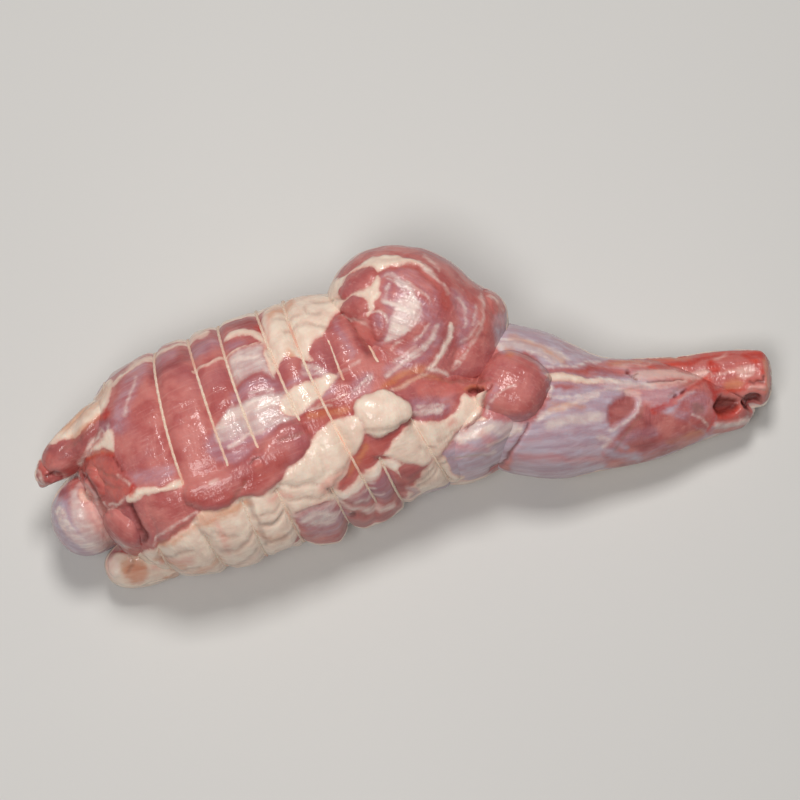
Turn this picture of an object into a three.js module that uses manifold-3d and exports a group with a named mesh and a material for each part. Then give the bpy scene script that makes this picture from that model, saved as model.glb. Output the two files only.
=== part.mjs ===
// A raw leg of lamb: the thigh rolled and tied with eight loops of butcher's twine, the shank with its bone
// left on. The leg lies on its side on a flat surface, rump end towards -X, hock end towards +X.
// Millimetres, +Z up. The origin is on the surface that the leg rests on, under the middle of the roll.
import * as THREE from "three";
import { mergeVertices } from "three/addons/utils/BufferGeometryUtils.js";
import Module from "manifold-3d";

const wasm = await Module();
wasm.setup();

// ---- Driving dimensions ----

const TWINE_RADIUS = 1.0;
const CLEARANCE = 0.4; // between any two pieces
const TWINE_BED = TWINE_RADIUS + CLEARANCE; // from a loop's centre line to the meat under it
const REST_Z = 0; // the surface that the leg lies on

// The roll lies along its own X axis. Its sections are evenly spaced from the rump to the knee: centre offset
// towards the back, centre height, half width and half height.
const ROLL = {
  at: [-170, -24],
  yaw: 12.2,
  length: 230,
  blunt: [40, 36], // length over which each end rounds off
  boxiness: 2.2, // exponent of the section's outline, 2 being an ellipse
  sides: 42,
  ringStep: 8, // longest gap between rings that is left without a filler
  sections: [
    [2, 40, 40, 42],
    [1, 42, 54, 48],
    [-1, 43, 60, 52],
    [-2, 43, 62, 53],
    [-1, 43, 62, 53],
    [-2, 43, 61, 52],
    [-9, 41, 55, 48],
    [-15, 38, 45, 40],
    [-20, 36, 36, 35],
  ],
};

// Each loop of twine: where it crosses the roll, how far it leans towards the rump, and on which side it leans.
const TIES = [
  { at: 31, lean: 5, side: 30 },
  { at: 60, lean: 10, side: 30 },
  { at: 79, lean: 5, side: 30 },
  { at: 98, lean: 7, side: 10 },
  { at: 121, lean: 6, side: -10 },
  { at: 138, lean: 9, side: -15 },
  { at: 152, lean: 8, side: 0 },
  { at: 174, lean: 11, side: -30 },
];
const TIE = {
  sink: 2.6, // depth of the twine's centre line under the roll's own skin
  bed: 2.2, // half length of the bottom of the waist that a loop pulls in
  reach: 5.5, // length over which the meat rises on either side of it
  archReach: 3, // the same where the meat lies on the surface and arches over the loop
  ringOffsets: [-5.5, -1.9, 1.9, 5.5], // rings of the roll's mesh around each loop
  steps: 38,
  sides: 5,
  knotSide: -115, // the knots sit in a row low on the back
  knotHalf: [2.2, 2, 3.2],
  knotLift: 1.2,
};

// The free edge of the outer muscle, a thick lip that runs along the front of the roll.
const LIP = {
  path: [85, 63, 43, 44, 31, 28, 25, 20, 20], // its angle at even steps along the roll
  from: 15,
  to: 150,
  height: 3.5,
  thickness: 10,
  crease: 3.5,
};

// The shank lies along its own X axis, from inside the roll to the hock.
const SHANK = {
  at: [25, -3.3],
  yaw: -6.5,
  length: 162,
  blunt: [34, 9],
  boxiness: 2.1,
  sides: 28,
  rings: 20,
  sections: [
    [4, 42, 38, 38],
    [2, 39, 41, 38],
    [-4, 35, 37, 35],
    [-7.5, 30, 31, 30],
    [-8, 26.5, 26, 26],
    [-8, 23, 18, 20],
    [-7, 21, 11, 16],
  ],
};

// The shin bone: a shaft that lies bare along the back edge of the shank, and the knuckle of the hock.
const BONE = {
  from: 35,
  length: 137,
  blunt: [10, 8],
  boxiness: 2.3,
  sides: 16,
  rings: 16,
  sections: [
    [8, 38, 9, 9],
    [9, 37, 9, 9],
    [9, 35, 8.5, 9],
    [8, 32, 9, 9],
    [6, 29, 11, 10],
    [4, 26, 14, 13],
    [4, 25, 15, 15],
  ],
};

// Cushions of fat and muscle that swell the roll's skin: distance along it and angle from its top towards the
// front, half length and half width over the skin, and height.
const CUSHIONS = [
  { along: 158, angle: 25, size: [19, 15], height: 5 },
  { along: 118, angle: 104, size: [17, 20], height: 6 },
  { along: 142, angle: 106, size: [13, 20], height: 6 },
  { along: 88, angle: 105, size: [12, 16], height: 2 },
  { along: 168, angle: 95, size: [12, 18], height: 2 },
];

// Muscles, fat and flaps that stand out beyond the twine: centre, half sizes, and yaw, pitch and roll in degrees.
const LOBES = {
  foldedMuscle: { at: [10.5, 39, 60], half: [44, 36, 42], turn: [-33, 0, 0], rings: 20, sides: 28 },
  foldShoulder: { at: [38, 28, 54], half: [23, 24, 34], turn: [-30, 0, 0], rings: 12, sides: 20 },
  heelMuscle: { at: [58, -11, 62], half: [17, 16, 20], turn: [-30, 0, 0], rings: 12, sides: 18 },
  heelBase: { at: [36, -26, 36], half: [33, 16, 30], turn: [24, 0, 0], rings: 12, sides: 20 },
  rumpBall: { at: [-171, -31, 36], half: [17, 20, 25], turn: [0, 0, 0], rings: 12, sides: 18 },
  rumpFlap: { at: [-167, 6, 54], half: [29, 11, 17], turn: [52, 0, 0], rings: 12, sides: 18 },
  rumpFlapTip: { at: [-186, -7, 48], half: [8, 7, 10], turn: [70, 0, 0], rings: 8, sides: 12 },
  rumpChunk: { at: [-152, -20, 58], half: [15, 14, 16], turn: [-20, 0, 0], rings: 10, sides: 16 },
  rumpWedge: { at: [-149, -42, 44], half: [13, 12, 22], turn: [30, 0, 0], rings: 10, sides: 16 },
  rumpKnob: { at: [-150, -56, 20], half: [18, 12, 17], turn: [8, 0, 0], rings: 9, sides: 16 },
};

// The hollow between the tendons at the hock.
const POCKET = { at: [168, -31, 36], half: [8, 6, 8], turn: [-6, 0, 0], rings: 8, sides: 12 };

const COLOURS = {
  meat: new THREE.Color(0.68, 0.36, 0.33),
  bone: new THREE.Color(0.86, 0.6, 0.52),
  twine: new THREE.Color(0.93, 0.83, 0.7),
};

// ---- Shapes ----

const radians = THREE.MathUtils.degToRad;

/** A smooth value between evenly spaced rows, share running from 0 at the first to 1 at the last. */
function between(rows, share) {
  const place = THREE.MathUtils.clamp(share, 0, 1) * (rows.length - 1);
  const i = Math.min(Math.floor(place), rows.length - 2);
  const row = (k) => rows[THREE.MathUtils.clamp(k, 0, rows.length - 1)];
  const at = (k, c) => {
    if (k < 0) return 2 * row(0)[c] - row(1)[c];
    if (k >= rows.length) return 2 * row(k - 1)[c] - row(k - 2)[c];
    return row(k)[c];
  };
  const w = place - i;
  return rows[0].map((_, c) => {
    const [a, b, d, e] = [at(i - 1, c), at(i, c), at(i + 1, c), at(i + 2, c)];
    return b + 0.5 * w * (d - a + w * (2 * a - 5 * b + 4 * d - e + w * (3 * (b - d) + e - a)));
  });
}

/** How far a blunt end has opened, from 0 at its tip to 1 where the full section starts. */
function opened(distance, blunt) {
  const left = THREE.MathUtils.clamp(1 - distance / blunt, 0, 1);
  return Math.sqrt(1 - left * left);
}

/** Radius of a superellipse with the given half width and half height, in the direction of an angle. */
function squircle(angle, half, tall, exponent) {
  const s = Math.abs(Math.sin(angle) / half) ** exponent;
  const c = Math.abs(Math.cos(angle) / tall) ** exponent;
  return (s + c) ** (-1 / exponent);
}

/** A closed skin of rings between two poles: point(ring, angle) gives each corner, angles from -pi to pi. */
function skin(rings, sides, point) {
  const geometry = new THREE.SphereGeometry(1, sides, rings);
  const corners = geometry.attributes.position;
  for (let i = 0; i < corners.count; i++) {
    const ring = Math.floor(i / (sides + 1));
    const side = (i % (sides + 1)) % sides;
    const p = point(ring, Math.PI * (1 - (2 * side) / sides));
    corners.setXYZ(i, p.x, p.y, p.z);
  }
  return welded(geometry);
}

function welded(geometry) {
  geometry.deleteAttribute("normal");
  geometry.deleteAttribute("uv");
  return mergeVertices(geometry, 1e-4);
}

/** A point on a long body's skin, at a distance along it and an angle from its top towards the front. */
function bodyPoint(body, along, angle, swell = 0) {
  const [back, height, half, tall] = between(body.sections, along / body.length);
  const open = opened(along, body.blunt[0]) * opened(body.length - along, body.blunt[1]);
  const r = squircle(angle, half, tall, body.boxiness) * open + swell * Math.sqrt(open);
  return new THREE.Vector3(along, back - r * Math.sin(angle), height + r * Math.cos(angle));
}

/** Angle and radius of a point about the roll's centre line, in the roll's own frame. */
function aroundRoll(p) {
  const [back, height] = between(ROLL.sections, p.x / ROLL.length);
  const front = back - p.y;
  const up = p.z - height;
  return { back, height, angle: Math.atan2(front, up), radius: Math.hypot(front, up) };
}

/** Where a loop of twine crosses the roll at an angle: each loop lies in a leaning plane. */
function tieStation(tie, angle) {
  return tie.at - tie.lean * Math.cos(angle - radians(tie.side));
}

/** A ring of the roll leans as the loops on either side of it do, and the rings at the ends stand upright. */
function ringStation(at, angle) {
  const upright = [0, ROLL.length].map((end) => ({ at: end, lean: 0, side: 0 }));
  const marks = [upright[0], ...TIES, upright[1]];
  const next = Math.max(marks.findIndex((mark) => mark.at > at), 1);
  if (at >= ROLL.length) return at;
  const [from, to] = [marks[next - 1], marks[next]];
  const share = (at - from.at) / (to.at - from.at);
  return THREE.MathUtils.lerp(tieStation(from, angle), tieStation(to, angle), share);
}

/** A point of a loop's centre line, which lies a little under the roll's own skin and never on the surface. */
function tiePoint(tie, angle) {
  const p = bodyPoint(ROLL, tieStation(tie, angle), angle, -TIE.sink);
  p.z = Math.max(p.z, REST_Z + TWINE_BED);
  return p;
}

/** How much of a loop's pull is felt at a distance from it, from 1 under the loop to 0 where the reach ends. */
function waist(distance, reach = TIE.reach) {
  const away = Math.min(Math.max(Math.abs(distance) - TIE.bed, 0) / reach, 1);
  return (1 - away * away) ** 2;
}

/** Pulls a point of the meat in under each loop of twine, in the roll's own frame. */
function squeezed(p) {
  for (const tie of TIES) {
    const { back, height, angle, radius } = aroundRoll(p);
    const bed = bodyPoint(ROLL, p.x, angle, -TIE.sink - TWINE_BED);
    const limit = Math.hypot(back - bed.y, bed.z - height);
    const r = radius - Math.max(radius - limit, 0) * waist(p.x - tieStation(tie, angle));
    p.y = back - r * Math.sin(angle);
    p.z = height + r * Math.cos(angle);
  }
  return p;
}

/** Flattens what would sink through the surface that the leg lies on, and arches it over each loop. */
function rested(p) {
  const arch = REST_Z + 2 * TWINE_BED + CLEARANCE;
  const { angle } = aroundRoll(p);
  const nearest = Math.min(...TIES.map((tie) => Math.abs(p.x - tieStation(tie, angle))));
  p.z = Math.max(p.z, THREE.MathUtils.lerp(REST_Z, arch, waist(nearest, TIE.archReach)));
  return p;
}

/** Height of the outer muscle's lip over the roll's skin. */
function lipHeight(along, angle) {
  const [edge] = between(LIP.path.map((a) => [a]), along / ROLL.length);
  const [, , half] = between(ROLL.sections, along / ROLL.length);
  const above = (radians(edge) - angle) * half; // distance up the skin from the lip's edge
  const fade = opened(along - LIP.from, 15) * opened(LIP.to - along, 25);
  const ridge = LIP.height * Math.exp(-(((above - LIP.thickness) / LIP.thickness) ** 2));
  const crease = LIP.crease * Math.exp(-(((above + 2) / 4) ** 2));
  return fade * (ridge - crease);
}

/** Height of the cushions over the roll's skin. */
function cushionHeight(along, angle) {
  const [, , half] = between(ROLL.sections, along / ROLL.length);
  return CUSHIONS.reduce((height, cushion) => {
    const u = (along - cushion.along) / cushion.size[0];
    const v = ((angle - radians(cushion.angle)) * half) / cushion.size[1];
    return height + cushion.height * Math.exp(-u * u - v * v);
  }, 0);
}

const rollFrame = new THREE.Matrix4()
  .makeRotationZ(radians(ROLL.yaw))
  .setPosition(ROLL.at[0], ROLL.at[1], 0);
const rollFrameBack = rollFrame.clone().invert();

/** Flattens a point that isn't in the roll's frame. */
function laidDown(p) {
  return rested(p.applyMatrix4(rollFrameBack)).applyMatrix4(rollFrame);
}

/** Places of the roll's rings: two under each loop, one beyond them on either side, and fillers between. */
function rollStations() {
  const near = TIES.flatMap(({ at }) => TIE.ringOffsets.map((offset) => at + offset));
  const ends = [0, 1, 4, 9, 16, ROLL.length - 9, ROLL.length - 4, ROLL.length - 1.2, ROLL.length];
  const placed = [...near, ...ends].sort((a, b) => a - b);
  const fillers = placed.slice(1).flatMap((to, i) => {
    const gap = to - placed[i];
    const count = Math.floor(gap / ROLL.ringStep);
    return Array.from({ length: count }, (_, k) => placed[i] + (gap * (k + 1)) / (count + 1));
  });
  return [...placed, ...fillers].sort((a, b) => a - b);
}

function rollGeometry() {
  const stations = rollStations();
  return skin(stations.length - 1, ROLL.sides, (ring, angle) => {
    const along = ringStation(stations[ring], angle);
    const p = bodyPoint(ROLL, along, angle, lipHeight(along, angle) + cushionHeight(along, angle));
    return rested(squeezed(p)).applyMatrix4(rollFrame);
  });
}

function evenStations(body) {
  // Closer together at the two ends, where the body rounds off.
  return Array.from({ length: body.rings + 1 }, (_, i) => {
    const even = i / body.rings;
    return body.length * (even - 0.09 * Math.sin(2 * Math.PI * even));
  });
}

const shankFrame = new THREE.Matrix4()
  .makeRotationZ(radians(SHANK.yaw))
  .setPosition(SHANK.at[0], SHANK.at[1], 0);

function shankGeometry() {
  const stations = evenStations(SHANK);
  return skin(SHANK.rings, SHANK.sides, (ring, angle) =>
    laidDown(bodyPoint(SHANK, stations[ring], angle).applyMatrix4(shankFrame)),
  );
}

function boneGeometry(swell = 0) {
  const stations = evenStations(BONE);
  return skin(BONE.rings, BONE.sides, (ring, angle) => {
    const p = bodyPoint(BONE, stations[ring], angle, swell);
    p.x += BONE.from + swell * Math.sign(ring - BONE.rings / 2);
    return p.applyMatrix4(shankFrame);
  });
}

function lobeGeometry({ at, half, turn, rings, sides }) {
  const [yaw, pitch, roll] = turn.map(radians);
  const placed = new THREE.Matrix4()
    .makeRotationFromEuler(new THREE.Euler(roll, pitch, yaw, "ZYX"))
    .scale(new THREE.Vector3(...half))
    .setPosition(...at);
  return skin(rings, sides, (ring, around) => {
    const fromPole = (Math.PI * ring) / rings;
    const p = new THREE.Vector3(
      -Math.cos(fromPole),
      -Math.sin(fromPole) * Math.sin(around),
      Math.sin(fromPole) * Math.cos(around),
    );
    return laidDown(p.applyMatrix4(placed));
  });
}

/** A loop of twine as a closed curve, in the roll's own frame. */
class TieLoop extends THREE.Curve {
  constructor(tie) {
    super();
    this.tie = tie;
  }
  getPoint(share, target = new THREE.Vector3()) {
    return target.copy(tiePoint(this.tie, 2 * Math.PI * share));
  }
}

function tubeGeometry(tie, radius) {
  return welded(new THREE.TubeGeometry(new TieLoop(tie), TIE.steps, radius, TIE.sides, true));
}

function knotGeometry(tie) {
  const at = tiePoint(tie, radians(TIE.knotSide));
  const knot = new THREE.SphereGeometry(1, 6, 4);
  return welded(knot.scale(...TIE.knotHalf).translate(at.x, at.y + TIE.knotLift, at.z));
}

// ---- Solids ----

function solid(geometry) {
  return new wasm.Manifold(
    new wasm.Mesh({
      numProp: 3,
      vertProperties: geometry.attributes.position.array,
      triVerts: new Uint32Array(geometry.index.array),
    }),
  );
}

function surface(manifold) {
  const mesh = manifold.getMesh();
  const geometry = new THREE.BufferGeometry();
  geometry.setAttribute("position", new THREE.BufferAttribute(new Float32Array(mesh.vertProperties), 3));
  geometry.setIndex(new THREE.BufferAttribute(new Uint32Array(mesh.triVerts), 1));
  geometry.computeVertexNormals();
  return geometry;
}

function finish(name, geometry, colour, roughness) {
  const mesh = new THREE.Mesh(geometry, new THREE.MeshStandardMaterial({ color: colour, roughness, metalness: 0 }));
  mesh.name = name;
  return mesh;
}

/** The whole leg's meat as one solid, cut clear of the bone and, where a lobe lies over it, of the twine. */
function meat() {
  const channels = TIES.map((tie) => solid(tubeGeometry(tie, TWINE_BED).applyMatrix4(rollFrame)));
  let whole = solid(rollGeometry()).add(solid(shankGeometry()));
  for (const shape of Object.values(LOBES)) {
    const lobe = channels.reduce((left, channel) => left.subtract(channel), solid(lobeGeometry(shape)));
    whole = whole.add(lobe);
  }
  return whole.subtract(solid(boneGeometry(CLEARANCE))).subtract(solid(lobeGeometry(POCKET)));
}

const leg = new THREE.Group();
leg.add(finish("leg_meat", surface(meat()), COLOURS.meat, 0.35));
leg.add(finish("shank_bone", boneGeometry(), COLOURS.bone, 0.4));

const roll = new THREE.Group();
roll.applyMatrix4(rollFrame);
TIES.forEach((tie, i) => {
  const knotted = solid(tubeGeometry(tie, TWINE_RADIUS)).add(solid(knotGeometry(tie)));
  roll.add(finish(`tie_${i + 1}`, surface(knotted), COLOURS.twine, 0.9));
});
leg.add(roll);

export default leg;
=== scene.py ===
"""Dresses the raw leg of lamb: tied thigh, folded knee muscle, shank, hock and eight loops of twine.

Lengths are in millimetres and angles in degrees until a mesh is made. In the shared frame the leg lies along
+X from the rump to the hock, with +Y towards its back and +Z up from the surface that it rests on.
"""

from __future__ import annotations

import logging
from dataclasses import dataclass
from enum import Enum
from typing import Sequence

import bpy
import numpy as np
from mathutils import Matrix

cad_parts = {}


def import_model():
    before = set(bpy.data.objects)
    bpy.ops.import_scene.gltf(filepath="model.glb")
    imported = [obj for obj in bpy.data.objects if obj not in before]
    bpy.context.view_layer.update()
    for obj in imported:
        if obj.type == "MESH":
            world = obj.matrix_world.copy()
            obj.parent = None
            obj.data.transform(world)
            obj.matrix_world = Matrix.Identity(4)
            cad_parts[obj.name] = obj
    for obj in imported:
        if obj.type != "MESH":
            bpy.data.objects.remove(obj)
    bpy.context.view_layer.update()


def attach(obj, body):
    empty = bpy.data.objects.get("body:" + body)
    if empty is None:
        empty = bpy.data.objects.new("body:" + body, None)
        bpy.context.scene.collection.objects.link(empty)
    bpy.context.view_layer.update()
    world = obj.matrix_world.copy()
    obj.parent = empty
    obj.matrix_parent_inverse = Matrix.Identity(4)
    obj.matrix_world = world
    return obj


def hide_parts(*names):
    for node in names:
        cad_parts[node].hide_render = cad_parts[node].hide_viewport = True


LOG = logging.getLogger("leg_of_lamb")
METRES = 0.001  # metres in a millimetre
TINY = 1e-9  # least divisor
FAR = -9.0  # how deep inside a tissue a place counts that is nowhere near it
Point = tuple[float, float]
Pairs = Sequence[Point]
Triple = tuple[float, float, float]
Colour = tuple[float, float, float, float]
Noise = tuple[int, float, float]  # a noise's seed, the size of its lumps, and its height
Array = np.ndarray
Object = bpy.types.Object
Material = bpy.types.Material
Socket = bpy.types.NodeSocket


class Tissue(Enum):
    """The surface's tissue at a place, or the shade or highlight painted there; the value names its
    attribute.
    """

    LEAN = "lean"
    FAT = "fat"
    PALE = "pale"
    SILVER = "silver"
    SHEATH = "sheath"
    # Thin cream film, and also painted highlights on wet muscle, skin and bone.
    SMEAR = "film_and_highlight"
    ROSE = "rose"
    RED = "red"
    # Darker plum muscle, and also painted shade along lower edges, in clefts and on the shaded side of lobes.
    PLUM_AND_SHADE = "plum_and_shade"
    BLOOD = "blood"
    STAIN = "stain"
    # Grey-brown: painted shade in creases, folds and under cushions, and once the grey of a torn muscle's
    # end.
    CREASE = "crease"
    # Painted shade in clefts, sockets, pits and gaps, in a deep blood red.
    DARK = "dark"


LEAN, FAT, PALE, SILVER, SHEATH, SMEAR, ROSE, RED, PLUM_AND_SHADE, BLOOD, STAIN, CREASE, DARK = Tissue
LAYERS = tuple(kind for kind in Tissue if kind is not LEAN)  # what can lie over the lean
CLEARS = {  # what a mark clears away where it is laid
    LEAN: LAYERS,
    FAT: (PALE, SILVER, SHEATH, SMEAR, RED, PLUM_AND_SHADE),
    PALE: (RED, PLUM_AND_SHADE, FAT),
}


# ---- Sums over whole arrays ----


def smooth(low: float, high: float, value: Array) -> Array:
    """Rises from 0 at low to 1 at high as 3t^2 - 2t^3."""
    t = np.clip((value - low) / (high - low), 0, 1)
    return t * t * (3 - 2 * t)


def between(rows: Array, share: Array) -> Array:
    """Smooth value between evenly spaced rows: a Catmull-Rom curve whose ends are reflected.

    Args:
        rows: One row of numbers for each even step.
        share: Where to read, 0 at the first row and 1 at the last.

    Returns:
        The rows' values at each share, with the rows' columns as the last axis.
    """
    rows = np.asarray(rows, float)
    rows = np.vstack([2 * rows[0] - rows[1], rows, 2 * rows[-1] - rows[-2]])
    steps = len(rows) - 3
    place = np.clip(share, 0, 1) * steps
    i = np.minimum(place.astype(int), steps - 1)
    w = (place - i)[..., None]
    a, b, c, d = rows[i], rows[i + 1], rows[i + 2], rows[i + 3]
    return b + 0.5 * w * (c - a + w * (2 * a - 5 * b + 4 * c - d + w * (3 * (b - c) + d - a)))


def opened(distance: Array, blunt: float) -> Array:
    """How far a blunt end has opened: the quarter circle sqrt(1 - (1 - distance / blunt)^2)."""
    left = np.clip(1 - distance / blunt, 0, 1)
    return np.sqrt(1 - left * left)


def squircle(angle: Array, half: Array, tall: Array, exponent: float) -> Array:
    """Radius of a superellipse at an angle: (|sin / half|^e + |cos / tall|^e)^(-1/e).

    Args:
        angle: Angles in radians.
        half: Half the width.
        tall: Half the height.
        exponent: 2 for an ellipse, more for squarer corners.

    Returns:
        The radius at each angle.
    """
    across = np.abs(np.sin(angle) / half) ** exponent
    up = np.abs(np.cos(angle) / tall) ** exponent
    return (across + up) ** (-1 / exponent)


def curve(points: Pairs, closed: bool = False, steps: int = 4) -> Array:
    """A smooth line through points.

    Args:
        points: What the line passes through.
        closed: Whether it comes back to the first of them.
        steps: How many steps it takes from each one to the next.

    Returns:
        The points of the line, without a second start where it is closed.
    """
    knots = np.asarray(points, float)
    if closed:
        knots = np.vstack([knots, knots[:1]])
    count = (len(knots) - 1) * steps
    share = np.arange(count if closed else count + 1) / count
    if not closed:
        return between(knots, share)
    # Two more knots before the start and after the end make the line as smooth there as elsewhere.
    ring = np.vstack([knots[-3:-1], knots, knots[1:3]])
    return between(ring, (2 + share * (len(knots) - 1)) / (len(ring) - 1))


class Lumps:
    """Seeded smooth noise in space: random values on a cubic grid, blended by 3t^2 - 2t^3 along each axis."""

    SIDE = 24

    def __init__(self, seed: int, size: float) -> None:
        """Draws the grid's values between -1 and 1.

        Args:
            seed: Fixes the random draw.
            size: Distance between two grid places.
        """
        self.values = np.random.default_rng(seed).uniform(-1, 1, (self.SIDE,) * 3)
        self.size = size

    def at(self, points: Array) -> Array:
        """Reads the noise.

        Args:
            points: Where to read it.

        Returns:
            Its value at each point, from -1 to 1.
        """
        place = points / self.size
        cell = np.floor(place).astype(int)
        w = place - cell
        w = w * w * (3 - 2 * w)
        total = np.zeros(points.shape[:-1])
        for corner in np.ndindex(2, 2, 2):
            step = np.array(corner)
            share = np.prod(np.where(step == 1, w, 1 - w), axis=-1)
            i, j, k = np.moveaxis((cell + step) % self.SIDE, -1, 0)
            total += share * self.values[i, j, k]
        return total


def noises(points: Array, rows: Sequence[Noise], seed: int = 0) -> Array:
    """The sum of height times noise over rows of seed, size and height, the seeds added to the given one."""
    return sum(height * Lumps(seed + own, size).at(points) for own, size, height in rows)


# ---- The show plane: where the marks of the shown side are laid out ----


@dataclass(frozen=True)
class ShowPlane:
    """A plane through the leg, square to the line of sight on its shown side, for placing its marks."""

    azimuth: float = -10.0
    elevation: float = 75.0
    distance: float = 1500.0
    target: Triple = (0.0, 0.0, 45.0)
    half_width: float = 208.0  # half of what is seen of the plane

    def axes(self) -> Array:
        """Unit vectors as rows: right and up in the plane, and out of it towards the eye.

        Returns:
            A 3 by 3 array, one unit vector a row.
        """
        a, e = np.radians([self.azimuth, self.elevation])
        right = np.array([np.cos(a), np.sin(a), 0])
        back = np.array([np.sin(a) * np.cos(e), -np.cos(a) * np.cos(e), np.sin(e)])
        return np.array([right, np.cross(back, right), back])

    def eye(self) -> Array:
        """Where the eye is."""
        return np.array(self.target) + self.distance * self.axes()[2]

    def flat(self, points: Array) -> Array:
        """Where the line of sight through each point crosses the plane, as distances right and up."""
        seen = (points - np.array(self.target)) @ self.axes().T
        return seen[..., :2] * (self.distance / (self.distance - seen[..., 2:]))

    def facing(self, points: Array, normals: Array) -> Array:
        """Cosine of the angle between each normal and the line of sight.

        Args:
            points: The points.
            normals: Their unit normals.

        Returns:
            One cosine for each point.
        """
        sight = self.eye() - points
        sight /= np.linalg.norm(sight, axis=-1, keepdims=True)
        return np.sum(sight * normals, axis=-1)


SHOW = ShowPlane()


class Shape:
    """An outline on the show plane, mostly through points."""

    points: Pairs

    def corners(self) -> Array:
        """Points that span the shape."""
        return np.array(self.points, float)

    def inside(self, flat: Array) -> Array:
        """How deep inside the outline each place is, negative outside."""
        raise NotImplementedError

    def depth(self, flat: Array) -> Array:
        """As inside, worked out only for the places near the shape, and FAR elsewhere.

        Args:
            flat: Places in the plane, as x and y.

        Returns:
            The depth inside the outline, below 0 outside it.
        """
        low, high = self.corners().min(0) + FAR, self.corners().max(0) - FAR
        near = np.all((flat > low) & (flat < high), axis=-1)
        result = np.full(flat.shape[:-1], FAR)
        result[near] = np.maximum(self.inside(flat[near]), FAR)
        return result


@dataclass(frozen=True)
class Oval(Shape):
    """An ellipse: centre, half sizes, and the turn of its first half size from level."""

    MIDDLE = 1e-6  # share of the half size within which a place counts as the centre

    at: Point
    half: Point
    turn: float

    def corners(self) -> Array:
        """Points that span the shape."""
        reach = max(self.half)
        return np.array(self.at) + np.array([[-reach, -reach], [reach, reach]])

    def inside(self, flat: Array) -> Array:
        """Distance k (1 - k) / |p / half^2|, k being |p / half|: near the true one by the outline.

        Args:
            flat: Places in the plane, as x and y.

        Returns:
            The depth inside the outline, below 0 outside it.
        """
        c, s = np.cos(np.radians(self.turn)), np.sin(np.radians(self.turn))
        p = (flat - np.array(self.at)) @ np.array([[c, -s], [s, c]])
        k = np.linalg.norm(p / self.half, axis=-1)
        slope = np.linalg.norm(p / np.square(self.half), axis=-1)
        return np.where(k > self.MIDDLE, k * (1 - k) / np.maximum(slope, TINY), min(self.half))


@dataclass(frozen=True)
class Streak(Shape):
    """A line of one width through points, with round ends."""

    points: Pairs
    width: float

    def inside(self, flat: Array) -> Array:
        """Half the width less the distance to the line."""
        return self.width / 2 - to_line(flat, curve(self.points))


@dataclass(frozen=True)
class Patch(Shape):
    """A smooth closed outline through points."""

    points: Pairs

    def inside(self, flat: Array) -> Array:
        """Distance to the outline, its sign from how often a level line to the right crosses it.

        Args:
            flat: Places in the plane, as x and y.

        Returns:
            The depth inside the outline, below 0 outside it.
        """
        ring = curve(self.points, closed=True)
        ends = np.roll(ring, -1, axis=0)
        within = np.zeros(len(flat), bool)
        for a, b in zip(ring, ends):
            spans = (a[1] > flat[:, 1]) != (b[1] > flat[:, 1])
            rise = b[1] - a[1] if b[1] != a[1] else 1.0
            within ^= spans & (flat[:, 0] < a[0] + (flat[:, 1] - a[1]) * (b[0] - a[0]) / rise)
        away = to_line(flat, np.vstack([ring, ring[:1]]))
        return np.where(within, away, -away)


def to_line(flat: Array, line: Array) -> Array:
    """Distance to the nearest of a line's straight pieces.

    Args:
        flat: Places on the show plane.
        line: The line's points.

    Returns:
        The distance of each place.
    """
    least = np.full(len(flat), np.inf)
    for a, b in zip(line[:-1], line[1:]):
        run = b - a
        share = np.clip((flat - a) @ run / max(run @ run, TINY), 0, 1)
        least = np.minimum(least, np.linalg.norm(flat - a - share[:, None] * run, axis=-1))
    return least


@dataclass(frozen=True)
class Mark:
    """A feature of the shown side: its tissue, its outline, and how far it stands out of the skin."""

    tissue: Tissue
    shape: Shape
    rise: float = 0.0  # height in its middle, negative for a crease
    edge: float = 4.0  # distance from its outline over which it rises

    def height(self, depth: Array) -> Array:
        """Relief at a depth inside the outline: a cushion's quarter circle, or a groove's smooth fall.

        Args:
            depth: Depth inside the outline.

        Returns:
            The relief at each depth.
        """
        if self.rise < 0:
            return self.rise * smooth(-self.edge / 2, self.edge / 2, depth)
        return self.rise * opened(np.maximum(depth, 0), self.edge)


def oval(tissue: Tissue, at: Point, half: Point, turn: float = 0, **how: float) -> Mark:
    """A mark with an elliptical outline."""
    return Mark(tissue, Oval(at, half, turn), **how)


def streak(tissue: Tissue, width: float, *run: float, **how: float) -> Mark:
    """A mark along a line, from its points' x and y in turn."""
    return Mark(tissue, Streak(tuple(zip(run[::2], run[1::2])), width), **how)


def patch(tissue: Tissue, *run: float, **how: float) -> Mark:
    """A mark with a free outline, from its points' x and y in turn."""
    return Mark(tissue, Patch(tuple(zip(run[::2], run[1::2]))), **how)


# ---- Marks of the shown side, in millimetres right and up on the show plane ----

# Outlines that are laid twice: first to clear what lies over the lean, then to colour it.
BARE_STRIP = (  # lean between the lower fat and the rope of fat
    -20, -20, -15, -19, -11, -23, -12.5, -30, -17, -36, -24, -42, -30, -47, -31.5, -44.5, -27, -37, -24, -30,
)
TORN_MUSCLE = (  # the muscle torn open at the rump
    -163, -30, -155, -28, -149, -28, -145, -34, -137, -45, -140, -53, -144, -56, -150, -57, -155, -53,
    -158, -44, -165, -37,
)
CREVICE = (  # lean under the fold's lip
    -19, -18.5, -13, -19.5, -7, -18.5, -2, -15.5, 3, -12.8, 6.5, -11.5, 3, -14.8, -2, -19, -7, -23, -11, -28,
    -14, -25,
)
SHANK_EYE = (  # the dark hollow in the shank
    108, -7, 109, -1.5, 113.4, 2, 118, 3.8, 122.4, 1.6, 123.4, -2.6, 119.6, -7.3, 114, -11.5, 110, -14,
    108.4, -11,
)

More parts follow.
